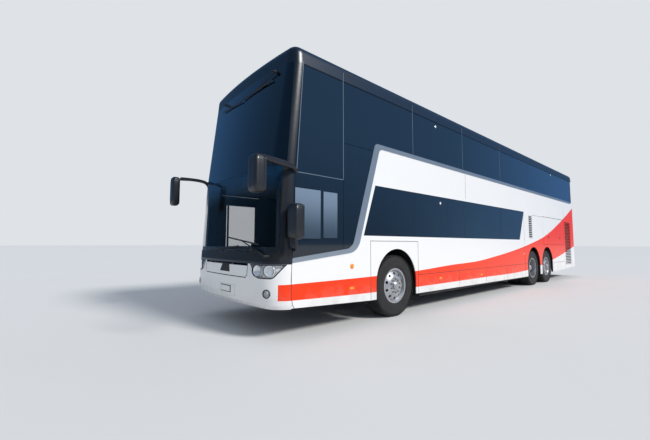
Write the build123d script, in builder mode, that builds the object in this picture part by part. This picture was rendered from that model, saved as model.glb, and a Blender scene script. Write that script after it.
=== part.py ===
"""Double-deck touring coach with three axles: body, glazing, running gear, doors and lids.

Millimetres. The coach faces -Y, its left side is +X, +Z is up, and it stands on Z = 0.
Stations are distances behind the foremost point of the nose.
"""
from build123d import *
import math
import os

# Overall size
BODY_LENGTH = 14100
BODY_WIDTH = 2550
BODY_HEIGHT = 4000
ROOF_DEPTH = 280
MIRROR_REACH = 360

# Shells
WALL = 60
GLASS = 25
SCREEN = 15
BUMPER_SHELL = 40
SEAM = 6
DOOR_GAP = 8

# Heights
BUMPER_FOOT = 400
SCREEN_SILL = 1000
DECK_JOINT = 2260
ROOF_BASE = BODY_HEIGHT - ROOF_DEPTH
LOW_FLOOR = 380
CAB_FLOOR = 800
HOLD_FLOOR = 1220
UPPER_FLOOR = 2250
FLOOR_SHEET = 50
UPPER_SHEET = 60

# Side glazing and waist moulding
SIDE_JOINT = 2190
UPPER_GLASS_FOOT = 2890
UPPER_GLASS_HEAD = ROOF_BASE - 20
UPPER_GLASS_REAR = BODY_LENGTH - 340
LOWER_GLASS_FOOT = 1366
LOWER_GLASS_HEAD = 2190
PILLAR_WIDTH = 90
MOULDING_STAND = 10
MOULDING_DEPTH = 12

# Wheels
FRONT_AXLE = 2570
DRIVE_AXLE = 9370
TAG_AXLE = 10650
TYRE_RADIUS = 522
TYRE_WIDTH = 295
TYRE_INSET = 45
TWIN_GAP = 50
SPINDLE_RADIUS = 45
RUNNING_GAP = 0.05
ARCH_RADIUS = 550
ARCH_CENTRE = 602
HOUSING_GAP = 50
HOUSING_SHEET = 20
HOUSING_DEPTH = 655
KINGPIN_ACROSS = BODY_WIDTH / 2 - 275
KINGPIN_RADIUS = 25

# Doors and lids
DOORWAY_HEAD = 2158
FRONT_DOOR = (500, 1300)
MIDDLE_DOOR = (5600, 6450)
FRONT_ARM = 600
MIDDLE_ARM = 650
HOLD_DOOR = (10300, 12600)
HOLD_DOOR_HEIGHTS = (1228, 2120)
LID_ACROSS = 850
LID_HEIGHTS = (520, 1600)
ROD_RADIUS = 6
ROD_INSET = 10
ROD_DROP = 6
ROD_ENTRY = 20
ROD_BORE = 6.1
SWEEP_GAP = 18
FLAP_ACROSS = 700
FLAP_HEIGHTS = (785, 945)
FLAP_SHELL = 30
FLAP_ROD = 300
FLAP_CORNER = 70

# Nose: height, how far the surface lies behind the nose point, and radius of its corners in plan
NOSE_LEVELS = (
    (BUMPER_FOOT, 75, 280),
    (450, 30, 295),
    (540, 8, 300),
    (780, 0, 300),
    (SCREEN_SILL, 12, 300),
    (DECK_JOINT, 105, 240),
    (ROOF_BASE, 290, 170),
)
CROWN_TURN = math.radians(5.7)
NOSE_DEPTH = 900
REAR_CORNER = 160
ROOF_ROUND = 150
ROOF_TAPER = 5

NOSE_Y = MIRROR_REACH - (BODY_LENGTH + MIRROR_REACH) / 2
HALF = BODY_WIDTH / 2
INNER = HALF - WALL
TAIL = BODY_LENGTH
REAR_SEAM = TAIL - REAR_CORNER

# Local axes: across and station on PLAN, station and height on SIDE
PLAN = Plane(origin=(0, NOSE_Y, 0), x_dir=(1, 0, 0), z_dir=(0, 0, 1))
SIDE = Plane(origin=(0, NOSE_Y, 0), x_dir=(0, 1, 0), z_dir=(1, 0, 0))


def cross(station):
    """A plane across the coach at a station, facing forwards, with axes across and up."""
    return Plane(origin=(0, NOSE_Y + station, 0), x_dir=(1, 0, 0), z_dir=(0, -1, 0))


def block(across, stations, heights, mode=Mode.ADD):
    """A straight bar, plate or cut between two positions each way."""
    middle = (sum(across) / 2, NOSE_Y + sum(stations) / 2, sum(heights) / 2)
    with Locations(middle):
        Box(across[1] - across[0], stations[1] - stations[0], heights[1] - heights[0], mode=mode)


def disc(centre, normal, radius, length, mode=Mode.ADD):
    """A round bar from a centre along a direction, with stations in the centre."""
    across, station, height = centre
    with Locations(Plane(origin=(across, NOSE_Y + station, height), z_dir=normal)):
        Cylinder(radius, length, align=(Align.CENTER, Align.CENTER, Align.MIN), mode=mode)


def rod(points, radius):
    """Round bars joined by balls along a route of across, station and height."""
    world = [Vector(across, NOSE_Y + station, height) for across, station, height in points]
    for start, end in zip(world, world[1:]):
        with Locations(Plane(origin=start, z_dir=end - start)):
            Cylinder(radius, (end - start).length, align=(Align.CENTER, Align.CENTER, Align.MIN))
    for point in world[1:-1]:
        with Locations(point):
            Sphere(radius)


def finish(piece, name):
    """Label a piece and write its file."""
    piece.label = name
    export_step(piece, f"parts/{name}.step")


def mirrored(piece):
    """The same piece on the other side of the coach."""
    return mirror(piece, about=Plane.YZ)


def nose_height(height):
    """Setback and corner radius of the nose at a height, read between its levels."""
    for low, high in zip(NOSE_LEVELS, NOSE_LEVELS[1:]):
        if height <= high[0]:
            share = (height - low[0]) / (high[0] - low[0])
            return low[1] + share * (high[1] - low[1]), low[2] + share * (high[2] - low[2])
    return NOSE_LEVELS[-1][1:]


def nose_turn(inset, setback, corner):
    """Where the crowned front meets its corner arc, and where that arc meets the side."""
    half = HALF - inset
    radius = corner - inset
    turn_across = half - radius * (1 - math.sin(CROWN_TURN))
    turn_station = setback + inset + turn_across * math.tan(CROWN_TURN / 2)
    side_station = turn_station + radius * math.cos(CROWN_TURN)
    return half, radius, turn_across, turn_station, side_station


def front_lines(inset, setback, corner):
    """The front of the plan outline, from the right side round to the left."""
    half, radius, turn_across, turn_station, side_station = nose_turn(inset, setback, corner)
    sweep = 90 - math.degrees(CROWN_TURN)
    ThreePointArc((-turn_across, turn_station), (0, setback + inset), (turn_across, turn_station))
    CenterArc((half - radius, side_station), radius, -sweep, sweep)
    CenterArc((radius - half, side_station), radius, 180, sweep)
    return half, side_station


def nose_form(inset):
    """The solid form of the nose, shrunk by an inset, up to the roof's base."""
    with BuildPart() as form:
        for height, setback, corner in NOSE_LEVELS:
            with BuildSketch(PLAN.offset(height)):
                with BuildLine():
                    half, side_station = front_lines(inset, setback, corner)
                    Polyline((half, side_station), (half, NOSE_DEPTH), (-half, NOSE_DEPTH), (-half, side_station))
                make_face()
        loft(ruled=True)
    return form.part


def roof_form(inset):
    """The solid form of the roof, shrunk by an inset, with rounded upper edges."""
    setback, corner = nose_height(ROOF_BASE)
    tail = TAIL - inset
    rear = REAR_CORNER - inset
    rise = BODY_HEIGHT - ROOF_BASE - inset
    with BuildPart() as form:
        with BuildSketch(PLAN.offset(ROOF_BASE)):
            with BuildLine():
                half, side_station = front_lines(inset, setback, corner)
                Line((half, side_station), (half, tail - rear))
                Line((-half, side_station), (-half, tail - rear))
                CenterArc((half - rear, tail - rear), rear, 0, 90)
                CenterArc((rear - half, tail - rear), rear, 90, 90)
                Line((half - rear, tail), (rear - half, tail))
            make_face()
        extrude(amount=rise, taper=ROOF_TAPER)
        fillet(form.edges().group_by(Axis.Z)[-1], radius=ROOF_ROUND - inset)
    return form.part


def seam_station(height):
    """The station of the seam between nose and side wall."""
    setback, corner = nose_height(max(height, 540))
    return nose_turn(0, setback, corner)[4]


def nose_region(foot, head, trim):
    """Side outline of the stretch of nose between two heights, ending a distance before the seam."""
    heights = [foot] + [level[0] for level in NOSE_LEVELS if foot < level[0] < head] + [head]
    edge = [(seam_station(height) - trim, height) for height in heights]
    return [(-200, foot)] + edge + [(-200, head)]


outer_nose = nose_form(0)
screen_nose = nose_form(SCREEN)
flap_nose = nose_form(FLAP_SHELL)
bumper_nose = nose_form(BUMPER_SHELL)
wall_nose = nose_form(WALL)


def nose_piece(outside, inside, foot, head, trim):
    """A curved piece of nose between two forms, within a stretch of the side outline."""
    with BuildPart() as piece:
        with BuildSketch(SIDE):
            Polygon(*nose_region(foot, head, trim), align=None)
        extrude(amount=HALF + WALL, both=True)
        add(outside, mode=Mode.INTERSECT)
        add(inside, mode=Mode.SUBTRACT)
    return piece.part


os.makedirs("parts", exist_ok=True)

# Wipers, by across and height: each spindle, then the ends of its blade
PILLAR_FACE = 110
WIPERS = (
    ((1110, 1075), (960, 1225), (130, 1330)),
    ((835, 1150), (470, 1205), (-560, 1120)),
    ((930, ROOF_BASE - 65), (870, ROOF_BASE - 175), (60, ROOF_BASE - 200)),
    ((-620, ROOF_BASE - 65), (20, ROOF_BASE - 220), (-720, ROOF_BASE - 160)),
)
WIPER_SPINDLE = 20
WIPER_ARM = 8
WIPER_BLADE = 10
ARM_STAND = 45
BLADE_STAND = 24
SPINDLE_HEAD = 60


def on_nose(across, height, stand):
    """A point standing off the nose's outer surface."""
    setback, corner = nose_height(height)
    half, radius, turn_across, turn_station, side_station = nose_turn(0, setback, corner)
    if abs(across) <= turn_across:
        station = setback + (turn_station - setback) * (across / turn_across) ** 2
    else:
        station = side_station - math.sqrt(radius ** 2 - (abs(across) - half + radius) ** 2)
    return across, station - stand, height


with BuildPart() as spindles:
    for (across, height), blade_start, blade_end in WIPERS:
        disc(on_nose(across, height, SPINDLE_HEAD), (0, 1, 0), WIPER_SPINDLE, 2 * WALL)

# Windscreens, each bonded in front of the mask and wrapped round the corners, bored for the wipers
lower_blank = nose_piece(outer_nose, screen_nose, SCREEN_SILL, DECK_JOINT - SEAM / 2, PILLAR_FACE)
upper_blank = nose_piece(outer_nose, screen_nose, DECK_JOINT + SEAM / 2, ROOF_BASE - SEAM, PILLAR_FACE)
for name, blank in (("lower", lower_blank), ("upper", upper_blank)):
    with BuildPart() as windscreen:
        add(blank)
        add(spindles.part, mode=Mode.SUBTRACT)
    finish(windscreen.part, f"windscreen_{name}")

# Front mask: corner pillars and cross members behind the screens, with the strip over the front flap
MASK_FOOT = FLAP_HEIGHTS[1] + ROD_DROP + SWEEP_GAP
MEMBER = 60
SILL_MEMBER = 190
HEAD_MEMBER = 110
flap_axis_height = FLAP_HEIGHTS[1] + ROD_DROP
flap_axis_station = nose_height(flap_axis_height)[0] + ROD_INSET
FLAP_EAR = (FLAP_ROD + 3, FLAP_ROD + 25)
FLAP_NOTCH = (FLAP_ROD - 2, FLAP_ROD + 30)
FLAP_EAR_STATIONS = (flap_axis_station - 8, flap_axis_station + 30)
FLAP_EAR_HEIGHTS = (flap_axis_height - 10, MASK_FOOT + 5)
SCREEN_HOLES = (
    (SCREEN_SILL + SILL_MEMBER, DECK_JOINT - MEMBER),
    (DECK_JOINT + MEMBER, ROOF_BASE - HEAD_MEMBER),
)
with BuildPart() as front_mask:
    add(nose_piece(outer_nose, wall_nose, MASK_FOOT, ROOF_BASE, 0))
    for foot, head in SCREEN_HOLES:
        add(nose_piece(screen_nose, wall_nose, foot, head, PILLAR_FACE + MEMBER), mode=Mode.SUBTRACT)
    add(lower_blank, mode=Mode.SUBTRACT)
    add(upper_blank, mode=Mode.SUBTRACT)
    for side in (-1, 1):
        ear = sorted((side * FLAP_EAR[0], side * FLAP_EAR[1]))
        block(ear, FLAP_EAR_STATIONS, FLAP_EAR_HEIGHTS)
    with BuildSketch(SIDE):
        with Locations((flap_axis_station, flap_axis_height)):
            Circle(ROD_BORE)
    extrude(amount=FLAP_ROD + ROD_ENTRY, both=True, mode=Mode.SUBTRACT)
finish(front_mask.part, "front_mask")

# Wipers: a spindle through the screen, an arm and a blade each
with BuildPart() as wipers:
    add(spindles.part)
    add(screen_nose, mode=Mode.SUBTRACT)
    for (across, height), blade_start, blade_end in WIPERS:
        middle = ((blade_start[0] + blade_end[0]) / 2, (blade_start[1] + blade_end[1]) / 2)
        rod((on_nose(across, height, ARM_STAND), on_nose(*middle, BLADE_STAND)), WIPER_ARM)
        rod((on_nose(*blade_start, BLADE_STAND), on_nose(*blade_end, BLADE_STAND)), WIPER_BLADE)
finish(wipers.part, "wipers")


def flap_prism(gap):
    """The front flap's outline with rounded lower corners, widened by a gap, right through the nose."""
    rise = FLAP_HEIGHTS[1] - FLAP_HEIGHTS[0] + 2 * gap
    with BuildPart() as prism:
        with BuildSketch(cross(NOSE_DEPTH)) as face:
            with Locations((0, sum(FLAP_HEIGHTS) / 2)):
                Rectangle(2 * (FLAP_ACROSS + gap), rise)
            fillet(face.vertices().group_by(Axis.Y)[0], radius=FLAP_CORNER + gap)
        extrude(amount=2 * NOSE_DEPTH)
    return prism.part


# Front flap, hung on a rod under the strip and notched round the rod's ears
with BuildPart() as front_flap:
    add(flap_prism(0))
    add(outer_nose, mode=Mode.INTERSECT)
    add(flap_nose, mode=Mode.SUBTRACT)
    for side in (-1, 1):
        notch = sorted((side * FLAP_NOTCH[0], side * FLAP_NOTCH[1]))
        block(notch, (-WALL, WALL), (flap_axis_height - 16, MASK_FOOT), mode=Mode.SUBTRACT)
    web = (flap_axis_station - 5, flap_axis_station + 5)
    block((10 - FLAP_ROD, FLAP_ROD - 10), web, (flap_axis_height - 12, flap_axis_height))
    with BuildSketch(SIDE):
        with Locations((flap_axis_station, flap_axis_height)):
            Circle(ROD_RADIUS)
    extrude(amount=FLAP_ROD + ROD_ENTRY, both=True)
finish(front_flap.part, "front_flap")

# Headlamp outline in its own slanting plane: distance along the corner, height
LAMP_OUTLINE = ((565, 968), (680, 786), (930, 786), (1105, 968))
LAMP_REACH = (350, 1300)
FOG_ACROSS = 1110
FOG_HEIGHT = 600
FOG_RADIUS = 48
LAMP_ROUND = 90


def lamp_prism():
    """A prism through the left corner of the nose with the headlamp's outline."""
    slant = math.sqrt(0.5)
    face = Plane(origin=(0, NOSE_Y, 0), x_dir=(slant, slant, 0), z_dir=(slant, -slant, 0))
    with BuildPart() as prism:
        with BuildSketch(face.offset(LAMP_REACH[0])) as outline:
            Polygon(*LAMP_OUTLINE, align=None)
            fillet(outline.vertices().group_by(Axis.Y)[0], radius=LAMP_ROUND)
        extrude(amount=LAMP_REACH[1] - LAMP_REACH[0])
    return prism.part


def fog_prism():
    """A round bar through the bumper where the left fog lamp sits."""
    with BuildPart() as prism:
        with BuildSketch(cross(NOSE_DEPTH)):
            with Locations((FOG_ACROSS, FOG_HEIGHT)):
                Circle(FOG_RADIUS)
        extrude(amount=2 * NOSE_DEPTH)
    return prism.part


lamp_prisms = [prism for left in (lamp_prism(), fog_prism()) for prism in (left, mirrored(left))]

# Front bumper: the white lower nose with its flap opening and lamp openings
with BuildPart() as front_bumper:
    add(nose_piece(outer_nose, bumper_nose, BUMPER_FOOT, MASK_FOOT, 0))
    add(flap_prism(DOOR_GAP), mode=Mode.SUBTRACT)
    block((-FLAP_ACROSS, FLAP_ACROSS), (-WALL, 2 * WALL), (FLAP_HEIGHTS[1] - SEAM, MASK_FOOT), mode=Mode.SUBTRACT)
    for prism in lamp_prisms:
        add(prism, mode=Mode.SUBTRACT)
finish(front_bumper.part, "front_bumper")

# Headlamps and fog lamps, filling their openings
with BuildPart() as front_lamps:
    for prism in lamp_prisms:
        add(prism)
    with BuildSketch(SIDE):
        Polygon(*nose_region(BUMPER_FOOT, MASK_FOOT, 0), align=None)
    extrude(amount=HALF + WALL, both=True, mode=Mode.INTERSECT)
    add(outer_nose, mode=Mode.INTERSECT)
    add(bumper_nose, mode=Mode.SUBTRACT)
finish(front_lamps.part, "front_lamps")

# Side walls
FRONT_SILL = 410
SILL_LINE = ((1900, 350), (8800, 300), (11400, 312), (REAR_SEAM, 385))
UPPER_JOINTS = (1284, 3090, 5000, 7030, 9050, 11050, TAIL - 1100)
LOWER_JOINTS = (4300, 6950)
LOWER_BAND = (
    (1724, LOWER_GLASS_FOOT), (8251, LOWER_GLASS_FOOT),
    (8646, LOWER_GLASS_HEAD), (2012, LOWER_GLASS_HEAD),
)
WINDOW_HEIGHTS = (2960, ROOF_BASE - 90)
DRIVER_WINDOW = (430, 1150, 1320, 1965)
FRONT_PANES = ((404, 844, 1305, 1980), (896, 1163, 1318, 1974))
CROSS_JOINT = 2755
SMALL_GRILLE = (8990, 9320, 1400, 2120)
LARGE_GRILLE = (TAIL - 1350, TAIL - 600, 476, 2090)
MOULDING_REAR = TAIL - 460
MOULDING_FOOT = ((1587, 1120), (2127, 2820), (MOULDING_REAR, 2820))
MOULDING_HEAD = ((1468, 1175), (2012, UPPER_GLASS_FOOT), (MOULDING_REAR, UPPER_GLASS_FOOT))
MOULDING_STARTS = (990, 1050)
MOULDING_FOOT_TURNS = (260, 110)
MOULDING_HEAD_TURNS = (180, 90)


def rectangle(box, grow=0, mode=Mode.ADD):
    """A rectangle from its first and last station and its lower and upper height."""
    first, last, foot, head = box
    with Locations(((first + last) / 2, (foot + head) / 2)):
        Rectangle(last - first + 2 * grow, head - foot + 2 * grow, mode=mode)


def wall_blank():
    """A plain side wall with its wheel arches."""
    front = [(seam_station(height), height) for height in (FRONT_SILL, SCREEN_SILL, DECK_JOINT, ROOF_BASE)]
    with BuildPart() as blank:
        with BuildSketch(SIDE.offset(INNER)):
            Polygon(*reversed(front), *SILL_LINE, (REAR_SEAM, ROOF_BASE), align=None)
            for station in (FRONT_AXLE, DRIVE_AXLE, TAG_AXLE):
                with Locations((station, ARCH_CENTRE)):
                    Circle(ARCH_RADIUS, mode=Mode.SUBTRACT)
                rectangle((station - ARCH_RADIUS, station + ARCH_RADIUS, 0, ARCH_CENTRE), mode=Mode.SUBTRACT)
        extrude(amount=WALL)
    return blank.part


def glazed_field(plane, depth, gap):
    """The upper glazed field of the left side, from the corner pillar back over the waist moulding."""
    start = MOULDING_STARTS[1] + gap
    head = UPPER_GLASS_HEAD - gap
    with BuildPart() as field:
        with BuildSketch(plane):
            with BuildLine():
                foot = [(seam_station(start) + SEAM + gap, start)]
                foot += [(x - gap if i == 0 else x, z + gap) for i, (x, z) in enumerate(MOULDING_HEAD)]
                foot[-1] = (UPPER_GLASS_REAR - gap, foot[-1][1])
                edge = FilletPolyline(*foot, radius=MOULDING_HEAD_TURNS)
                Polyline(edge @ 1, (UPPER_GLASS_REAR - gap, head), (seam_station(head) + SEAM + gap, head),
                         (seam_station(DECK_JOINT) + SEAM + gap, DECK_JOINT), edge @ 0)
            make_face()
        extrude(amount=depth)
    return field.part


def lower_field(plane, depth, gap):
    """The lower window band with its slanted ends."""
    with BuildPart() as field:
        with BuildSketch(plane):
            Polygon(*LOWER_BAND, align=None)
            if gap:
                offset(amount=-gap, kind=Kind.INTERSECTION, mode=Mode.REPLACE)
        extrude(amount=depth)
    return field.part


def door_zone(grow):
    """What the right side's doorways take out of the glazing."""
    with BuildPart() as zone:
        block((0, HALF + WALL), (0, FRONT_DOOR[1] + DOOR_FRAME + grow), (0, SIDE_JOINT + grow))
        block((0, HALF + WALL), (MIDDLE_DOOR[0] - DOOR_FRAME - grow, MIDDLE_DOOR[1] + DOOR_FRAME + grow),
              (0, SIDE_JOINT + grow))
    return zone.part


DOOR_FRAME = 40
PANE_GAP = SEAM / 2
UPPER_BAYS = (570,) + UPPER_JOINTS + (UPPER_GLASS_REAR,)
hold_axis = HOLD_DOOR_HEIGHTS[1] + ROD_DROP
pane_plane = SIDE.offset(HALF - GLASS)

# Waist moulding along both sides
with BuildPart() as left_moulding:
    with BuildSketch(SIDE.offset(HALF - MOULDING_DEPTH)):
        with BuildLine():
            starts = [(seam_station(height) + PANE_GAP, height) for height in MOULDING_STARTS]
            foot_edge = FilletPolyline(starts[0], *MOULDING_FOOT, radius=MOULDING_FOOT_TURNS)
            head_edge = FilletPolyline(starts[1], *MOULDING_HEAD, radius=MOULDING_HEAD_TURNS)
            Line(foot_edge @ 0, head_edge @ 0)
            Line(foot_edge @ 1, head_edge @ 1)
        make_face()
    extrude(amount=MOULDING_DEPTH + MOULDING_STAND)
with BuildPart() as right_moulding:
    add(left_moulding.part)
    add(door_zone(0), mode=Mode.SUBTRACT)
    mirror(about=Plane.YZ, mode=Mode.REPLACE)
with BuildPart() as waist_mouldings:
    add(left_moulding.part)
    add(right_moulding.part)
finish(waist_mouldings.part, "waist_mouldings")


# Holes behind the lower window band, and the rebates of both sides' glazing
HOLE_EDGE = 60
with BuildPart() as all_lower_holes:
    add(lower_field(SIDE.offset(INNER), WALL, HOLE_EDGE))
    for joint in LOWER_JOINTS:
        block((INNER, HALF), (joint - PILLAR_WIDTH / 2, joint + PILLAR_WIDTH / 2), (0, ROOF_BASE),
              mode=Mode.SUBTRACT)
    block((INNER, HALF), (MIDDLE_DOOR[0] - 2 * DOOR_FRAME, MIDDLE_DOOR[1] + 2 * DOOR_FRAME), (0, ROOF_BASE),
          mode=Mode.SUBTRACT)
lower_holes = all_lower_holes.part
with BuildPart() as both_fields:
    add(glazed_field(pane_plane, GLASS, 0))
    add(lower_field(pane_plane, GLASS, 0))
left_fields = both_fields.part
with BuildPart() as cut_fields:
    add(left_fields)
    add(door_zone(0), mode=Mode.SUBTRACT)
right_fields = cut_fields.part


def side_wall(doorways):
    """A left-hand side wall with its rebates, window holes, door opening and grille openings."""
    with BuildPart() as wall:
        add(wall_blank())
        if doorways:
            add(right_fields, mode=Mode.SUBTRACT)
        else:
            add(left_fields, mode=Mode.SUBTRACT)
        add(left_moulding.part if not doorways else mirrored(right_moulding.part), mode=Mode.SUBTRACT)
        with BuildSketch(SIDE.offset(INNER)):
            for first, last in zip(UPPER_BAYS, UPPER_BAYS[1:]):
                rectangle((first, last) + WINDOW_HEIGHTS, grow=-PILLAR_WIDTH / 2)
            rectangle(HOLD_DOOR + (HOLD_DOOR_HEIGHTS[0], hold_axis + SWEEP_GAP - DOOR_GAP), grow=DOOR_GAP)
            rectangle(SMALL_GRILLE)
            rectangle(LARGE_GRILLE)
            if doorways:
                for first, last in (FRONT_DOOR, MIDDLE_DOOR):
                    rectangle((first, last, 0, DOORWAY_HEAD - DOOR_GAP), grow=DOOR_GAP)
            else:
                rectangle(DRIVER_WINDOW)
        extrude(amount=WALL, mode=Mode.SUBTRACT)
        add(lower_holes, mode=Mode.SUBTRACT)
        with BuildSketch(cross(HOLD_DOOR[1] + DOOR_GAP + ROD_ENTRY)):
            with Locations((HALF - ROD_INSET, hold_axis)):
                Circle(ROD_BORE)
        extrude(amount=HOLD_DOOR[1] - HOLD_DOOR[0] + 2 * (DOOR_GAP + ROD_ENTRY), mode=Mode.SUBTRACT)
        split(bisect_by=PLAN.offset(DOORWAY_HEAD), keep=Keep.BOTH)
    return wall.part


wall_left = side_wall(False)
finish(wall_left, "side_wall_left")
wall_right = mirrored(side_wall(True))
finish(wall_right, "side_wall_right")

# Side glazing: panes in the rebates, a seam apart
with BuildPart() as glass_left:
    add(glazed_field(pane_plane, GLASS, PANE_GAP))
    add(lower_field(pane_plane, GLASS, PANE_GAP))
    with BuildSketch(pane_plane):
        for joint in UPPER_JOINTS:
            rectangle((joint - PANE_GAP, joint + PANE_GAP, SCREEN_SILL, ROOF_BASE))
        for joint in LOWER_JOINTS:
            rectangle((joint - PANE_GAP, joint + PANE_GAP, LOWER_GLASS_FOOT, LOWER_GLASS_HEAD))
        rectangle((0, UPPER_JOINTS[0], SIDE_JOINT - PANE_GAP, SIDE_JOINT + PANE_GAP))
        rectangle((UPPER_JOINTS[0], UPPER_JOINTS[1], CROSS_JOINT - PANE_GAP, CROSS_JOINT + PANE_GAP))
        for pane in FRONT_PANES:
            rectangle(pane, grow=SEAM)
    extrude(amount=GLASS, mode=Mode.SUBTRACT)
    with BuildSketch(pane_plane):
        for pane in FRONT_PANES:
            rectangle(pane)
    extrude(amount=GLASS)
finish(glass_left.part, "glass_left")
with BuildPart() as glass_right:
    add(glass_left.part)
    add(door_zone(PANE_GAP), mode=Mode.SUBTRACT)
    mirror(about=Plane.YZ, mode=Mode.REPLACE)
finish(glass_right.part, "glass_right")

# Luggage doors at the rear of both sides, each hung on a rod along its upper edge
with BuildPart() as luggage_door_left:
    block((INNER, HALF), HOLD_DOOR, HOLD_DOOR_HEIGHTS)
    block((HALF - ROD_INSET - 5, HALF - ROD_INSET + 5), (HOLD_DOOR[0] + 10, HOLD_DOOR[1] - 10),
          (HOLD_DOOR_HEIGHTS[1] - 5, hold_axis))
    with BuildSketch(cross(HOLD_DOOR[1] + DOOR_GAP + ROD_ENTRY - 2)):
        with Locations((HALF - ROD_INSET, hold_axis)):
            Circle(ROD_RADIUS)
    extrude(amount=HOLD_DOOR[1] - HOLD_DOOR[0] + 2 * (DOOR_GAP + ROD_ENTRY - 2))
finish(luggage_door_left.part, "luggage_door_left")
luggage_door_right = mirrored(luggage_door_left.part)
finish(luggage_door_right, "luggage_door_right")

# Louvred grilles: a frame with slanting slats
GRILLE_DEPTH = 40
GRILLE_FRAME = 25
SLAT_PITCH = 58


def grille(box):
    """A louvred panel that fills its opening."""
    first, last, foot, head = box
    count = round((head - foot - 2 * GRILLE_FRAME) / SLAT_PITCH)
    pitch = (head - foot - 2 * GRILLE_FRAME) / count
    with BuildPart() as panel:
        with BuildSketch(SIDE.offset(HALF - GRILLE_DEPTH)):
            rectangle(box)
            rectangle(box, grow=-GRILLE_FRAME, mode=Mode.SUBTRACT)
        extrude(amount=GRILLE_DEPTH)
        with BuildSketch(cross(last - GRILLE_FRAME + 1)):
            for index in range(count):
                middle = foot + GRILLE_FRAME + (index + 0.5) * pitch
                Polygon((HALF - 32, middle + 10), (HALF - 3, middle - 16), (HALF - 3, middle - 8),
                        (HALF - 32, middle + 18), align=None)
        extrude(amount=last - first - 2 * GRILLE_FRAME + 2)
    return panel.part


with BuildPart() as side_grilles:
    for box in (SMALL_GRILLE, LARGE_GRILLE):
        add(grille(box))
    mirror(about=Plane.YZ)
finish(side_grilles.part, "side_grilles")

# Roof: one shell with rounded edges
HATCH_SIZE = 760
HATCH_THICK = 20
HATCH_ROUND = 60
HATCHES = (4200, 9800)
with BuildPart() as roof:
    add(roof_form(0))
    add(roof_form(WALL), mode=Mode.SUBTRACT)
    with BuildSketch(PLAN.offset(BODY_HEIGHT - HATCH_THICK)):
        for station in HATCHES:
            with Locations((0, station)):
                RectangleRounded(HATCH_SIZE + 2 * DOOR_GAP, HATCH_SIZE + 2 * DOOR_GAP, HATCH_ROUND + DOOR_GAP)
    extrude(amount=HATCH_THICK, mode=Mode.SUBTRACT)
finish(roof.part, "roof")
with BuildPart() as roof_hatches:
    with BuildSketch(PLAN.offset(BODY_HEIGHT - HATCH_THICK)):
        for station in HATCHES:
            with Locations((0, station)):
                RectangleRounded(HATCH_SIZE, HATCH_SIZE, HATCH_ROUND)
    extrude(amount=HATCH_THICK)
finish(roof_hatches.part, "roof_hatches")

# Rear wall with its window, engine opening and lamp recesses
REAR_FOOT = 385
REAR_WINDOW = (-900, 900, 2960, ROOF_BASE - 120)
REAR_REBATE = 50
LAMP_BOX = (1000, 1100, 1000, 1560)
LAMP_STAND = 10
lid_axis = LID_HEIGHTS[1] + ROD_DROP
tail_plane = cross(TAIL)


def tail_lines(inset):
    """The plan outline of the tail behind the side walls' rear seams."""
    half = HALF - inset
    radius = REAR_CORNER - inset
    CenterArc((half - radius, REAR_SEAM), radius, 0, 90)
    Line((half - radius, REAR_SEAM + radius), (radius - half, REAR_SEAM + radius))
    CenterArc((radius - half, REAR_SEAM), radius, 90, 90)
    Line((-half, REAR_SEAM), (half, REAR_SEAM))


with BuildPart() as rear_wall:
    with BuildSketch(PLAN.offset(REAR_FOOT)):
        with BuildLine():
            tail_lines(0)
        make_face()
        with BuildLine():
            tail_lines(WALL)
        make_face(mode=Mode.SUBTRACT)
    extrude(amount=ROOF_BASE - REAR_FOOT)
    with BuildSketch(tail_plane):
        rectangle(REAR_WINDOW)
        rectangle((-LID_ACROSS, LID_ACROSS, LID_HEIGHTS[0], lid_axis + SWEEP_GAP - DOOR_GAP), grow=DOOR_GAP)
    extrude(amount=WALL, mode=Mode.SUBTRACT)
    with BuildSketch(tail_plane):
        rectangle(REAR_WINDOW, grow=REAR_REBATE)
        for side in (-1, 1):
            rectangle(tuple(sorted((side * LAMP_BOX[0], side * LAMP_BOX[1]))) + LAMP_BOX[2:])
    extrude(amount=GLASS, mode=Mode.SUBTRACT)
    with BuildSketch(SIDE):
        with Locations((TAIL - ROD_INSET, lid_axis)):
            Circle(ROD_BORE)
    extrude(amount=LID_ACROSS + DOOR_GAP + ROD_ENTRY, both=True, mode=Mode.SUBTRACT)
finish(rear_wall.part, "rear_wall")

with BuildPart() as glass_rear:
    with BuildSketch(tail_plane):
        rectangle(REAR_WINDOW, grow=REAR_REBATE - PANE_GAP)
    extrude(amount=GLASS)
finish(glass_rear.part, "glass_rear")

with BuildPart() as tail_lamps:
    with BuildSketch(tail_plane.offset(-LAMP_STAND)):
        for side in (-1, 1):
            rectangle(tuple(sorted((side * LAMP_BOX[0], side * LAMP_BOX[1]))) + LAMP_BOX[2:])
    extrude(amount=GLASS + LAMP_STAND)
finish(tail_lamps.part, "tail_lamps")

# Engine lid in the rear wall
with BuildPart() as engine_lid:
    block((-LID_ACROSS, LID_ACROSS), (TAIL - WALL, TAIL), LID_HEIGHTS)
    block((10 - LID_ACROSS, LID_ACROSS - 10), (TAIL - ROD_INSET - 5, TAIL - ROD_INSET + 5),
          (LID_HEIGHTS[1] - 5, lid_axis))
    with BuildSketch(SIDE):
        with Locations((TAIL - ROD_INSET, lid_axis)):
            Circle(ROD_RADIUS)
    extrude(amount=LID_ACROSS + DOOR_GAP + ROD_ENTRY - 2, both=True)
finish(engine_lid.part, "engine_lid")

# Wheel housings: arched linings, open below and outwards, closed inboard above the axles
HOUSING_LEG = 430
HOUSING_WALL_FOOT = 640
FRONT_HOUSING = ARCH_RADIUS + HOUSING_GAP
housing_inner = HALF - WALL - HOUSING_DEPTH


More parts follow.
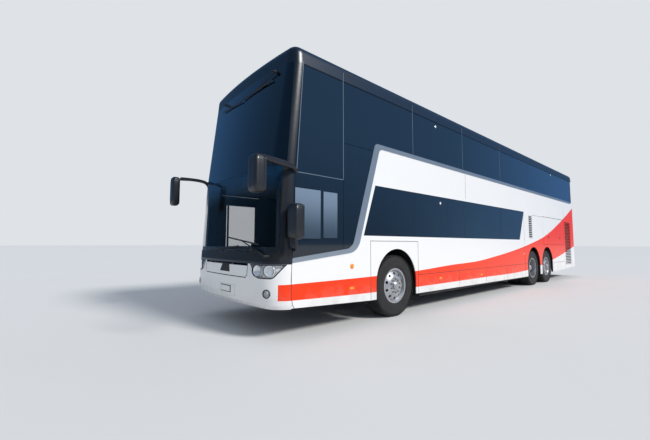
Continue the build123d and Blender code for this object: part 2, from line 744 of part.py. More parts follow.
def arch_outline(first, last, radius):
    """An arch over one wheel or two, from the leg's foot up."""
    for station in {first, last}:
        with Locations((station, ARCH_CENTRE)):
            Circle(radius)
    rectangle((first - radius, last + radius, HOUSING_LEG, ARCH_CENTRE))
    if last > first:
        rectangle((first, last, ARCH_CENTRE, ARCH_CENTRE + radius))


def housing(first, last, radius):
    """One wheel housing on the left."""
    with BuildPart() as lining:
        with BuildSketch(SIDE.offset(housing_inner)):
            arch_outline(first, last, radius + HOUSING_SHEET)
        extrude(amount=HOUSING_DEPTH)
        with BuildSketch(SIDE.offset(housing_inner + HOUSING_SHEET)):
            arch_outline(first, last, radius)
        extrude(amount=HOUSING_DEPTH, mode=Mode.SUBTRACT)
        block((0, HALF), (first - 2 * radius, last + 2 * radius), (-HALF, HOUSING_LEG), mode=Mode.SUBTRACT)
        block((0, housing_inner + HOUSING_SHEET), (first - 2 * radius, last + 2 * radius), (0, HOUSING_WALL_FOOT),
              mode=Mode.SUBTRACT)
    return lining.part


with BuildPart() as wheel_housings:
    add(housing(FRONT_AXLE, FRONT_AXLE, FRONT_HOUSING))
    add(housing(DRIVE_AXLE, TAG_AXLE, ARCH_RADIUS))
    mirror(about=Plane.YZ)
finish(wheel_housings.part, "wheel_housings")

# Lower floor: a low saloon between the axles, a raised cab floor ahead of it and an entrance well
CAB_REAR = 3350
SALOON_REAR = 8700
WELL_ACROSS = 540
WELL_REAR = 1400
CAB_EDGE = ((0, 72), (995, 124), (INNER, 362))
with BuildPart() as cab_sheet:
    with BuildSketch(PLAN.offset(CAB_FLOOR - FLOOR_SHEET)):
        right_edge = [(-across, station) for across, station in reversed(CAB_EDGE[1:])]
        Polygon(*right_edge, *CAB_EDGE, (INNER, CAB_REAR), (-INNER, CAB_REAR), align=None)
    extrude(amount=FLOOR_SHEET)
with BuildPart() as floor_lower:
    add(cab_sheet.part)
    for side in (-1, 1):
        ends = sorted((side * housing_inner, side * INNER))
        reach = FRONT_HOUSING + HOUSING_SHEET
        block(ends, (FRONT_AXLE - reach, FRONT_AXLE + reach), (0, CAB_FLOOR), mode=Mode.SUBTRACT)
    block((-INNER, -WELL_ACROSS), (0, WELL_REAR), (0, CAB_FLOOR), mode=Mode.SUBTRACT)
    block((-INNER, -WELL_ACROSS), (FRONT_DOOR[0] - DOOR_GAP, WELL_REAR), (LOW_FLOOR - FLOOR_SHEET, LOW_FLOOR))
    block((-WELL_ACROSS, FLOOR_SHEET - WELL_ACROSS), (FRONT_DOOR[0] - DOOR_GAP, WELL_REAR + FLOOR_SHEET),
          (LOW_FLOOR - FLOOR_SHEET, CAB_FLOOR))
    block((-INNER, -WELL_ACROSS), (WELL_REAR, WELL_REAR + FLOOR_SHEET), (LOW_FLOOR - FLOOR_SHEET, CAB_FLOOR))
    block((-INNER, INNER), (CAB_REAR - FLOOR_SHEET, CAB_REAR), (LOW_FLOOR - FLOOR_SHEET, CAB_FLOOR))
    block((-INNER, INNER), (CAB_REAR, SALOON_REAR), (LOW_FLOOR - FLOOR_SHEET, LOW_FLOOR))
finish(floor_lower.part, "floor_lower")

# Upper floor with its stair opening
STAIR_ACROSS = (500, 1150)
STAIR_FOOT = 5400
STAIR_TREAD = 240
STAIR_STEPS = 8
STAIR_HEAD = STAIR_FOOT + (STAIR_STEPS - 1) * STAIR_TREAD
STAIR_CLEAR = 20
with BuildPart() as nose_deck:
    block((-INNER, INNER), (0, NOSE_DEPTH), (UPPER_FLOOR - UPPER_SHEET, UPPER_FLOOR))
    add(wall_nose, mode=Mode.INTERSECT)
with BuildPart() as floor_upper:
    block((-INNER, INNER), (NOSE_DEPTH, TAIL - WALL), (UPPER_FLOOR - UPPER_SHEET, UPPER_FLOOR))
    fillet(floor_upper.edges().filter_by(Axis.Z).group_by(Axis.Y)[-1], radius=REAR_CORNER - WALL)
    add(nose_deck.part)
    block((STAIR_ACROSS[0] - STAIR_CLEAR, STAIR_ACROSS[1] + STAIR_CLEAR), (STAIR_FOOT - 100, STAIR_HEAD),
          (0, ROOF_BASE), mode=Mode.SUBTRACT)
finish(floor_upper.part, "floor_upper")

with BuildPart() as stairs:
    rise = (UPPER_FLOOR - LOW_FLOOR) / STAIR_STEPS
    with BuildSketch(SIDE.offset(STAIR_ACROSS[0])):
        treads = []
        for step in range(STAIR_STEPS - 1):
            front = STAIR_FOOT + step * STAIR_TREAD
            treads += [(front, LOW_FLOOR + step * rise), (front, LOW_FLOOR + (step + 1) * rise)]
        back = UPPER_FLOOR - rise
        underside = ((STAIR_HEAD, back), (STAIR_HEAD, back - rise), (STAIR_FOOT + STAIR_TREAD, LOW_FLOOR))
        Polygon(*treads, *underside, align=None)
    extrude(amount=STAIR_ACROSS[1] - STAIR_ACROSS[0])
finish(stairs.part, "stairs")

# Bulkheads across the rear and the luggage floor between them
HOLD_REAR = TAIL - 1400
BULKHEAD = 40
DECK_UNDERSIDE = UPPER_FLOOR - UPPER_SHEET
with BuildPart() as bulkheads:
    block((-INNER, INNER), (SALOON_REAR, SALOON_REAR + BULKHEAD), (LOW_FLOOR - FLOOR_SHEET, DECK_UNDERSIDE))
    block((-INNER, INNER), (HOLD_REAR, HOLD_REAR + BULKHEAD), (BUMPER_FOOT, DECK_UNDERSIDE))
finish(bulkheads.part, "bulkheads")
with BuildPart() as luggage_floor:
    block((-INNER, INNER), (SALOON_REAR + BULKHEAD, HOLD_REAR), (HOLD_FLOOR - BULKHEAD, HOLD_FLOOR))
finish(luggage_floor.part, "luggage_floor")

# Underframe of square bars: rails under the cab, a flat grid under the low floor, rails under the rear
BAR = 80
RAIL = (400, 400 + BAR)
FRONT_RAIL_HEIGHTS = (610, CAB_FLOOR - FLOOR_SHEET)
REAR_RAIL_HEIGHTS = (660, 800)
GRID_HEIGHTS = (270, LOW_FLOOR - FLOOR_SHEET)
GRID_SILL = (INNER - BAR, INNER)
GRID_BARS = 6
RAIL_TIP = 120
CAB_TIE = 280
HOLD_TIE = 11300
REAR_TIE = TAIL - 300
JACK_RADIUS = 60
JACK_PAD = 20
grid_front = CAB_REAR - FLOOR_SHEET
hold_front = SALOON_REAR + BULKHEAD
grid_pitch = (SALOON_REAR - BAR - grid_front) / (GRID_BARS - 1)
# Bars on the left, front to rear: across, stations, heights
LEFT_BARS = (
    (RAIL, (RAIL_TIP, grid_front - BAR), FRONT_RAIL_HEIGHTS),
    (RAIL, (grid_front - BAR, grid_front), (GRID_HEIGHTS[0], FRONT_RAIL_HEIGHTS[1])),
    (RAIL, (grid_front, hold_front), GRID_HEIGHTS),
    (GRID_SILL, (grid_front, SALOON_REAR), GRID_HEIGHTS),
    (RAIL, (hold_front, hold_front + BAR), (GRID_HEIGHTS[0], REAR_RAIL_HEIGHTS[1])),
    (RAIL, (hold_front + BAR, HOLD_REAR), REAR_RAIL_HEIGHTS),
    ((RAIL[1], INNER), (HOLD_TIE, HOLD_TIE + BAR), REAR_RAIL_HEIGHTS),
    (RAIL, (HOLD_REAR + BULKHEAD, REAR_TIE), REAR_RAIL_HEIGHTS),
)
MIDDLE_BARS = (
    ((-RAIL[0], RAIL[0]), (CAB_TIE, CAB_TIE + BAR), FRONT_RAIL_HEIGHTS),
    ((-RAIL[0], RAIL[0]), (HOLD_TIE, HOLD_TIE + BAR), REAR_RAIL_HEIGHTS),
    ((-INNER, INNER), (REAR_TIE, REAR_TIE + BAR), REAR_RAIL_HEIGHTS),
)


def bar(across, stations, heights):
    """One bar, which only butts against its neighbours."""
    with BuildPart() as length:
        block(across, stations, heights)
    return length.part.solid()


frame_bars = [bar(*row) for row in LEFT_BARS + MIDDLE_BARS]
for number in range(GRID_BARS):
    stations = (grid_front + number * grid_pitch, grid_front + number * grid_pitch + BAR)
    frame_bars.append(bar((-RAIL[0], RAIL[0]), stations, GRID_HEIGHTS))
    frame_bars.append(bar((RAIL[1], GRID_SILL[0]), stations, GRID_HEIGHTS))
    frame_bars.append(bar((-GRID_SILL[0], -RAIL[1]), stations, GRID_HEIGHTS))
for across, stations, heights in LEFT_BARS:
    frame_bars.append(bar((-across[1], -across[0]), stations, heights))
with BuildPart() as jack_pads:
    for side in (-1, 1):
        for station in (CAB_REAR, SALOON_REAR - BAR):
            disc((side * sum(RAIL) / 2, station, GRID_HEIGHTS[0] - JACK_PAD), (0, 0, 1), JACK_RADIUS, JACK_PAD)
finish(Compound(frame_bars + jack_pads.part.solids()), "chassis_frame")

# Engine as one plain block on the rear rails
ENGINE_HALF = 500
ENGINE_STATIONS = (TAIL - 1150, TAIL - 350)
ENGINE_HEAD = 1450
ENGINE_ROUND = 60
with BuildPart() as engine_block:
    block((-ENGINE_HALF, ENGINE_HALF), ENGINE_STATIONS, (REAR_RAIL_HEIGHTS[1], ENGINE_HEAD))
    fillet(engine_block.edges().filter_by(Axis.Y), radius=ENGINE_ROUND)
finish(engine_block.part, "engine_block")

# Running gear: front beam on kingpins, knuckles, track rod, drive axle and tag axle
LEFT = (1, 0, 0)
UP = (0, 0, 1)
BOSS_RADIUS = 50
BOSS_HEIGHTS = (440, 600)
BEAM_DEPTH = 120
BELLOWS_RADIUS = 105
BELLOWS_ACROSS = sum(RAIL) / 2
EYE_STATION = FRONT_AXLE + 120
PIN_RADIUS = 12
PIN_GAP = 0.1
tyre_face = HALF - TYRE_INSET
tyre_back = tyre_face - TYRE_WIDTH
BEAM_HEAD = 400
# The beam's left half seen from the front, dropped between the wheels
BEAM_LINE = (
    (650, 300), (770, BOSS_HEIGHTS[0]), (KINGPIN_ACROSS, BOSS_HEIGHTS[0]),
    (KINGPIN_ACROSS, BOSS_HEIGHTS[1]), (750, BOSS_HEIGHTS[1]), (630, BEAM_HEAD),
)
with BuildPart() as front_axle:
    with BuildSketch(cross(FRONT_AXLE + BEAM_DEPTH / 2)):
        Polygon(*BEAM_LINE, *[(-across, height) for across, height in reversed(BEAM_LINE)], align=None)
    extrude(amount=BEAM_DEPTH)
    with BuildSketch(PLAN.offset(BOSS_HEIGHTS[0])):
        with Locations((KINGPIN_ACROSS, FRONT_AXLE), (-KINGPIN_ACROSS, FRONT_AXLE)):
            Circle(BOSS_RADIUS)
    extrude(amount=BOSS_HEIGHTS[1] - BOSS_HEIGHTS[0])
    with BuildSketch(PLAN.offset(BOSS_HEIGHTS[0])):
        with Locations((KINGPIN_ACROSS, FRONT_AXLE), (-KINGPIN_ACROSS, FRONT_AXLE)):
            Circle(KINGPIN_RADIUS + RUNNING_GAP)
    extrude(amount=BOSS_HEIGHTS[1] - BOSS_HEIGHTS[0], mode=Mode.SUBTRACT)
with BuildPart() as front_bellows:
    for side in (-1, 1):
        disc((side * BELLOWS_ACROSS, FRONT_AXLE, BEAM_HEAD), UP, BELLOWS_RADIUS, FRONT_RAIL_HEIGHTS[0] - BEAM_HEAD)
finish(Compound(front_axle.part.solids() + front_bellows.part.solids()), "front_axle")

EAR_GAP = 10
EAR = 35
LOWER_EAR = (BOSS_HEIGHTS[0] - EAR_GAP - EAR, BOSS_HEIGHTS[0] - EAR_GAP)
UPPER_EAR = (BOSS_HEIGHTS[1] + EAR_GAP, BOSS_HEIGHTS[1] + EAR_GAP + EAR)
KNUCKLE_ACROSS = (KINGPIN_ACROSS - 40, KINGPIN_ACROSS + 120)
KNUCKLE_HALF = 55
FACE_THICK = 55
FACE_HALF = 80
STUB_LENGTH = 75
STEER_ARM_HALF = 30
STEER_ARM_START = 40
PIN_DROP = 65
with BuildPart() as knuckle_left:
    for heights in (LOWER_EAR, UPPER_EAR):
        block(KNUCKLE_ACROSS, (FRONT_AXLE - KNUCKLE_HALF, FRONT_AXLE + KNUCKLE_HALF), heights)
    block((KNUCKLE_ACROSS[1] - FACE_THICK, KNUCKLE_ACROSS[1]), (FRONT_AXLE - FACE_HALF, FRONT_AXLE + FACE_HALF),
          (LOWER_EAR[0], UPPER_EAR[1]))
    block((KINGPIN_ACROSS - STEER_ARM_HALF, KINGPIN_ACROSS + STEER_ARM_HALF),
          (FRONT_AXLE + STEER_ARM_START, EYE_STATION + STEER_ARM_HALF), LOWER_EAR)
    disc((KINGPIN_ACROSS, FRONT_AXLE, LOWER_EAR[0]), UP, KINGPIN_RADIUS, UPPER_EAR[1] - LOWER_EAR[0])
    disc((KNUCKLE_ACROSS[1], FRONT_AXLE, TYRE_RADIUS), LEFT, SPINDLE_RADIUS, STUB_LENGTH)
    disc((KINGPIN_ACROSS, EYE_STATION, LOWER_EAR[0] - PIN_DROP), UP, PIN_RADIUS, PIN_DROP)
finish(knuckle_left.part, "knuckle_left")
knuckle_right = mirrored(knuckle_left.part)
finish(knuckle_right, "knuckle_right")

# Track rod between the knuckles' rear arms; its right eye is wider than the pin
ROD_HEIGHTS = (LOWER_EAR[0] - 50, LOWER_EAR[0] - 14)
OPEN_GAP = 2
TRACK_RADIUS = 16
EYE_RADIUS = 30
with BuildPart() as track_rod:
    middle = sum(ROD_HEIGHTS) / 2
    disc((-KINGPIN_ACROSS, EYE_STATION, middle), LEFT, TRACK_RADIUS, 2 * KINGPIN_ACROSS)
    for side in (1, -1):
        disc((side * KINGPIN_ACROSS, EYE_STATION, ROD_HEIGHTS[0]), UP, EYE_RADIUS, ROD_HEIGHTS[1] - ROD_HEIGHTS[0])
    for side, gap in ((1, PIN_GAP), (-1, OPEN_GAP)):
        with BuildSketch(PLAN.offset(ROD_HEIGHTS[0])):
            with Locations((side * KINGPIN_ACROSS, EYE_STATION)):
                Circle(PIN_RADIUS + gap)
        extrude(amount=ROD_HEIGHTS[1] - ROD_HEIGHTS[0], mode=Mode.SUBTRACT)
finish(track_rod.part, "track_rod")

DRIVE_SHOULDER = 690
DRIVE_END = HALF - 280
CASING_RADIUS = 80
BOWL_RADIUS = 190
BOWL_START = -150
BOWL_WIDTH = 260
BOWL_ROUND = 60
BELLOWS_FOOT = TYRE_RADIUS + 30
with BuildPart() as drive_axle:
    disc((-DRIVE_SHOULDER, DRIVE_AXLE, TYRE_RADIUS), LEFT, CASING_RADIUS, 2 * DRIVE_SHOULDER)
    disc((-DRIVE_END, DRIVE_AXLE, TYRE_RADIUS), LEFT, SPINDLE_RADIUS, 2 * DRIVE_END)
    disc((BOWL_START, DRIVE_AXLE, TYRE_RADIUS), LEFT, BOWL_RADIUS, BOWL_WIDTH)
    round_edges = drive_axle.edges().filter_by(GeomType.CIRCLE)
    fillet(round_edges.filter_by(lambda edge: abs(edge.radius - BOWL_RADIUS) < 1), radius=BOWL_ROUND)
    for side in (-1, 1):
        disc((side * BELLOWS_ACROSS, DRIVE_AXLE, BELLOWS_FOOT), UP, BELLOWS_RADIUS,
             REAR_RAIL_HEIGHTS[0] - BELLOWS_FOOT)
finish(drive_axle.part, "drive_axle")
TAG_BEAM_END = INNER - 95
TAG_BEAM_HALF = 60
TAG_END = HALF - 80
with BuildPart() as tag_axle:
    block((-TAG_BEAM_END, TAG_BEAM_END), (TAG_AXLE - TAG_BEAM_HALF, TAG_AXLE + TAG_BEAM_HALF),
          (TYRE_RADIUS - TAG_BEAM_HALF, TYRE_RADIUS + TAG_BEAM_HALF))
    disc((-TAG_END, TAG_AXLE, TYRE_RADIUS), LEFT, SPINDLE_RADIUS, 2 * TAG_END)
    for side in (-1, 1):
        disc((side * BELLOWS_ACROSS, TAG_AXLE, BELLOWS_FOOT), UP, BELLOWS_RADIUS,
             REAR_RAIL_HEIGHTS[0] - BELLOWS_FOOT)
finish(tag_axle.part, "tag_axle")

# Tyre section from its bead round the tread: distance inboard of the outer face, radius
TYRE_SECTION = ((18, 283), (18, 300), (6, 325), (0, 400), (8, 480), (40, TYRE_RADIUS))
# Rims: distance inboard of the coach's side, radius, round the outside and back through the spindle's bore
BORE = SPINDLE_RADIUS + RUNNING_GAP
RIM_BARREL = (
    (53, 270), (53, 297), (61, 297), (61, 283),
    (324, 283), (324, 297), (332, 297), (332, 270),
)
CONVEX_RIM = (
    (75, 0), (13, 0), (13, 50), (25, 68), (46, 68), (46, 165), (95, 256), (95, 270),
    *RIM_BARREL,
    (111, 270), (111, 256), (62, 160), (62, 90), (145, 90), (145, BORE), (75, BORE),
)
DEEP_RIM = (
    (275, 0), (100, 0), (100, 60), (110, 75), (125, 80), (155, 120), (351, 120), (351, 235), (320, 270),
    *RIM_BARREL[:7],
    (332, 283), (365, 243), (398, 283), (398, 297), (406, 297), (406, 283), (669, 283), (669, 297),
    (677, 297), (677, 270), (410, 270), (379, 235), (379, 110), (575, 110), (575, BORE), (275, BORE),
)
# Vents: circle they stand on, their radius, and what they are bored through
CONVEX_VENTS = (210, 24, (HALF - 135, HALF - 46))
DEEP_VENTS = (178, 26, (HALF - 395, HALF - 335))
VENT_COUNT = 10


def turned(section, station):
    """A section turned about a wheel's axis: distance across and radius, at an axle's station."""
    with BuildPart() as ring:
        with BuildSketch(cross(station)):
            Polygon(*[(across, TYRE_RADIUS + radius) for across, radius in section], align=None)
        revolve(axis=Axis((0, NOSE_Y + station, TYRE_RADIUS), LEFT))
    return ring.part


def tyre(station, twin):
    """One tyre, or a twin pair a gap apart."""
    near = [(tyre_face - inboard, radius) for inboard, radius in TYRE_SECTION]
    far = [(tyre_back + inboard, radius) for inboard, radius in reversed(TYRE_SECTION)]
    with BuildPart() as rubber:
        add(turned(near + far, station))
        if twin:
            shift = TYRE_WIDTH + TWIN_GAP
            add(turned([(across - shift, radius) for across, radius in near + far], station))
    return rubber.part


def rim(section, station, vents):
    """A pressed wheel with its hub and a ring of round vents."""
    vent_circle, vent_radius, (first, last) = vents
    with BuildPart() as wheel:
        add(turned([(HALF - inboard, radius) for inboard, radius in section], station))
        with BuildSketch(Plane(origin=(first, NOSE_Y + station, TYRE_RADIUS), z_dir=LEFT)):
            with PolarLocations(vent_circle, VENT_COUNT):
                Circle(vent_radius)
        extrude(amount=last - first, mode=Mode.SUBTRACT)
    return wheel.part


for name, station, twin in (("front", FRONT_AXLE, False), ("drive", DRIVE_AXLE, True), ("tag", TAG_AXLE, False)):
    rubber = tyre(station, twin)
    if twin:
        metal = rim(DEEP_RIM, station, DEEP_VENTS)
    else:
        metal = rim(CONVEX_RIM, station, CONVEX_VENTS)
    for side, turn in (("left", False), ("right", True)):
        finish(mirrored(rubber) if turn else rubber, f"tyre_{name}_{side}")
        finish(mirrored(metal) if turn else metal, f"rim_{name}_{side}")

# Passenger doors on the right, each leaf carried on one swinging arm from a post
LEAF_FOOT = 400
LEAF_MARGIN = 90
LEAF_WINDOW = (1000, 2060)
LEAF_REBATE = 30
POST_INSET = 50
POST_RADIUS = 18
POST_LEAD = 100
POST_LENGTH = 1620
POST_CLEAR = 0.3
ARM_HEIGHTS = (1150, 1190)
ARM_HALF = 20
EAR_SPACE = 5
EAR_THICK = 30
LEAF_EAR_HALF = 30
LEAF_PAD_HALF = 60
post_across = INNER - POST_INSET


def door_leaf(doorway, arm):
    """A leaf with its window hole and the bracket that the arm's pin sits in."""
    first, last = doorway
    pin = first + POST_LEAD + arm
    with BuildPart() as leaf:
        with BuildSketch(SIDE.offset(INNER)):
            rectangle((first, last, LEAF_FOOT, DOORWAY_HEAD - DOOR_GAP))
            rectangle((first, last) + LEAF_WINDOW, grow=-LEAF_MARGIN, mode=Mode.SUBTRACT)
        extrude(amount=WALL)
        with BuildSketch(pane_plane):
            rectangle((first, last) + LEAF_WINDOW, grow=LEAF_REBATE - LEAF_MARGIN)
        extrude(amount=GLASS, mode=Mode.SUBTRACT)
        for foot in (ARM_HEIGHTS[0] - EAR_SPACE - EAR_THICK, ARM_HEIGHTS[1] + EAR_SPACE):
            block((post_across - ARM_HALF, INNER), (pin - LEAF_EAR_HALF, pin + LEAF_EAR_HALF),
                  (foot, foot + EAR_THICK))
        block((INNER, INNER + WALL - GLASS), (pin - LEAF_PAD_HALF, pin + LEAF_PAD_HALF),
              (ARM_HEIGHTS[0] - LEAF_PAD_HALF, ARM_HEIGHTS[1] + LEAF_PAD_HALF))
        disc((post_across, pin, ARM_HEIGHTS[0] - EAR_SPACE - EAR_THICK), UP, PIN_RADIUS,
             ARM_HEIGHTS[1] - ARM_HEIGHTS[0] + 2 * (EAR_SPACE + EAR_THICK))
    return leaf.part


def door_arm(doorway, arm):
    """The post and its arm, lying along the closed leaf."""
    post = doorway[0] + POST_LEAD
    pin = post + arm
    with BuildPart() as lever:
        disc((post_across, post, LOW_FLOOR + POST_CLEAR), UP, POST_RADIUS, POST_LENGTH)
        block((post_across - ARM_HALF, post_across + ARM_HALF), (post, pin), ARM_HEIGHTS)
        disc((post_across, pin, ARM_HEIGHTS[0]), UP, ARM_HALF, ARM_HEIGHTS[1] - ARM_HEIGHTS[0])
        with BuildSketch(PLAN.offset(ARM_HEIGHTS[0])):
            with Locations((post_across, pin)):
                Circle(PIN_RADIUS + PIN_GAP)
        extrude(amount=ARM_HEIGHTS[1] - ARM_HEIGHTS[0], mode=Mode.SUBTRACT)
    return lever.part


def door_pane(doorway):
    """The pane in a leaf's rebate."""
    with BuildPart() as pane:
        with BuildSketch(pane_plane):
            rectangle(doorway + LEAF_WINDOW, grow=LEAF_REBATE - LEAF_MARGIN - PANE_GAP)
        extrude(amount=GLASS)
    return pane.part


for name, doorway, arm in (("front", FRONT_DOOR, FRONT_ARM), ("middle", MIDDLE_DOOR, MIDDLE_ARM)):
    finish(mirrored(door_leaf(doorway, arm)), f"door_{name}_leaf")
    finish(mirrored(door_arm(doorway, arm)), f"door_{name}_arm")
    finish(mirrored(door_pane(doorway)), f"door_{name}_glass")

# Seats: each unit's side outline from its front foot, as station and height over its floor
SEAT_OUTLINE = ((0, 330), (0, 450), (430, 430), (550, 1120), (640, 1110), (540, 330))
SEAT_PEDESTAL = (180, 380, 0, 330)
SEAT_PAIR = (260, 1190)
DRIVER_SEAT = (380, 900)
DRIVER_STATION = 1300
SEAT_PITCH = 800
UPPER_FIRST = 1250
UPPER_TAIL = 1400
UPPER_ROWS = 1 + int((BODY_LENGTH - UPPER_FIRST - UPPER_TAIL) // SEAT_PITCH)
LOWER_ROWS = {1: (3480, 4260, 7400, 8020), -1: (3480, 4260, 6900, 7680)}
stair_span = (STAIR_FOOT - 750, STAIR_HEAD + 50)


def seat(station, floor, across):
    """A seat unit standing on a floor."""
    with BuildSketch(SIDE.offset(min(across))) as outline:
        Polygon(*[(station + x, floor + z) for x, z in SEAT_OUTLINE], align=None)
    extrude(outline.sketch, amount=abs(across[1] - across[0]))
    block((min(across) + 150, max(across) - 150), (station + SEAT_PEDESTAL[0], station + SEAT_PEDESTAL[1]),
          (floor + SEAT_PEDESTAL[2], floor + SEAT_PEDESTAL[3]))


with BuildPart() as seats_upper:
    for row in range(UPPER_ROWS):
        station = UPPER_FIRST + row * SEAT_PITCH
        for side in (-1, 1):
            if side > 0 and stair_span[0] < station < stair_span[1]:
                continue
            seat(station, UPPER_FLOOR, (side * SEAT_PAIR[0], side * SEAT_PAIR[1]))
finish(seats_upper.part, "seats_upper")
with BuildPart() as seats_lower:
    for side, stations in LOWER_ROWS.items():
        for station in stations:
            seat(station, LOW_FLOOR, (side * SEAT_PAIR[0], side * SEAT_PAIR[1]))
    seat(DRIVER_STATION, CAB_FLOOR, DRIVER_SEAT)
finish(seats_lower.part, "seats_lower")

# Dashboard and steering wheel
DASH_OUTLINE = ((330, 800), (330, 1080), (460, 1160), (760, 1110), (800, 1000), (700, 800))
DASH_ACROSS = (-450, 1130)
WHEEL_CENTRE = (620, 1010, 1330)
WHEEL_TILT = 35
WHEEL_RADIUS = 220
WHEEL_GRIP = 16
COLUMN_RADIUS = 35
COLUMN_LENGTH = 450
with BuildPart() as dashboard:
    with BuildSketch(SIDE.offset(DASH_ACROSS[0])):
        Polygon(*DASH_OUTLINE, align=None)
    extrude(amount=DASH_ACROSS[1] - DASH_ACROSS[0])
finish(dashboard.part, "dashboard")
with BuildPart() as steering_wheel:
    lean = math.radians(WHEEL_TILT)
    hub_plane = Plane(origin=(WHEEL_CENTRE[0], NOSE_Y + WHEEL_CENTRE[1], WHEEL_CENTRE[2]), x_dir=LEFT,
                      z_dir=(0, math.sin(lean), math.cos(lean)))
    with Locations(hub_plane):
        Torus(WHEEL_RADIUS, WHEEL_GRIP)
        with GridLocations(0, 0, 1, 1):
            Box(2 * WHEEL_RADIUS, 40, 14)
            Cylinder(60, 40)
    with BuildSketch(hub_plane.offset(-COLUMN_LENGTH)):
        Circle(COLUMN_RADIUS)
    extrude(amount=COLUMN_LENGTH)
    add(dashboard.part, mode=Mode.SUBTRACT)
    block((0, HALF), (0, WHEEL_CENTRE[1]), (0, CAB_FLOOR + 200), mode=Mode.SUBTRACT)
finish(steering_wheel.part, "steering_wheel")

# Mirrors: two on the left, one on the right
HOUSING_ROUND = 30
# Route of each arm, then the housing: middle across, station and height, then its sizes
UPPER_LEFT_ARM = ((1250, 430, 2190), (1330, 330, 2230), (1440, -240, 2250))
UPPER_LEFT_HOUSING = (1440, -250, 2040, 190, 120, 400)
LOWER_LEFT_ARM = ((1250, 400, 1150), (1380, 350, 1180), (1410, 330, 1330))
LOWER_LEFT_HOUSING = (1410, 330, 1520, 190, 110, 420)
RIGHT_ARM = ((-1180, 270, 2030), (-1180, 240, 2330), (-1300, 60, 2400), (-1400, -270, 2390))
RIGHT_HOUSING = (-1400, 55 - MIRROR_REACH, 2170, 180, 110, 470)


def mirror_unit(arm, thickness, housing):
    """A mirror on its arm, with a shallow recess for the glass behind."""
    across, station, height, width, depth, rise = housing
    with BuildPart() as unit:
        with BuildSketch(cross(station + depth / 2)):
            with Locations((across, height)):
                RectangleRounded(width, rise, HOUSING_ROUND)
        extrude(amount=depth)
        fillet(unit.faces().sort_by(Axis.Y)[0].edges(), radius=HOUSING_ROUND)
        with BuildSketch(cross(station + depth / 2)):
            with Locations((across, height)):
                RectangleRounded(width - 24, rise - 24, HOUSING_ROUND - 12)
        extrude(amount=8, mode=Mode.SUBTRACT)
        rod(arm, thickness)
        add(outer_nose, mode=Mode.SUBTRACT)
    return unit.part


with BuildPart() as mirrors:
    add(mirror_unit(UPPER_LEFT_ARM, 32, UPPER_LEFT_HOUSING))
    add(mirror_unit(LOWER_LEFT_ARM, 22, LOWER_LEFT_HOUSING))
    add(mirror_unit(RIGHT_ARM, 22, RIGHT_HOUSING))
finish(mirrors.part, "mirrors")
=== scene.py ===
import bpy
import bmesh
import math
from mathutils import Matrix, Vector


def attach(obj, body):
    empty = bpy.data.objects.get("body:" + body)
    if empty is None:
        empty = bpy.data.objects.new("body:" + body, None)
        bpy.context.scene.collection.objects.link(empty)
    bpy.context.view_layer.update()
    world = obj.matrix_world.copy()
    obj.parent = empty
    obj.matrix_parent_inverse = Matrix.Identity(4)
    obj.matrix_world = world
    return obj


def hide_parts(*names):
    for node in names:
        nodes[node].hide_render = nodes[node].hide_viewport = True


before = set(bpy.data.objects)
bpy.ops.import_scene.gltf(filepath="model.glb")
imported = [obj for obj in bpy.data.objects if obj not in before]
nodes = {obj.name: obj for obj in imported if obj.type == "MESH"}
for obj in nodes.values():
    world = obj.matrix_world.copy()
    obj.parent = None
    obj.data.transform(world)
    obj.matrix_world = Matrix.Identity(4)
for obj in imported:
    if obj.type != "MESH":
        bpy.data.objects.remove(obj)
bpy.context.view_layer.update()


# Painted outer skin: sheet panels in white gloss paint with an orange-red stripe that rises
# towards the tail. The panels are bonded to the frame, and their insides carry dark trim.
nose = -6.87
body_length = 14.1
half_width = 1.275
rear_corner = 13.84
stripe_start = 0.185
# Stations behind the nose and heights over the ground
head_points = ((0.17, 0.715), (1.88, 0.721), (3.11, 0.744), (4.33, 0.804), (5.7, 0.85), (6.16, 0.893),
               (7.4, 1.02), (8.76, 1.20), (10.56, 1.527), (12.49, 2.126), (14.1, 2.72))
foot_points = ((0.17, 0.514), (1.88, 0.470), (5.7, 0.459), (8.8, 0.488), (11.46, 0.752), (14.03, 1.173))
waist_line = ((0.0, 1.0), (1.5, 1.14), (2.07, 2.85), (14.1, 2.85))
tallest = 3


def tint(code):
    """A screen colour such as 'ff8800' in the renderer's linear values."""
    parts = [int(code[i:i + 2], 16) / 255 for i in (0, 2, 4)]
    return tuple(p / 12.92 if p <= 0.04045 else ((p + 0.055) / 1.055) ** 2.4 for p in parts) + (1.0,)


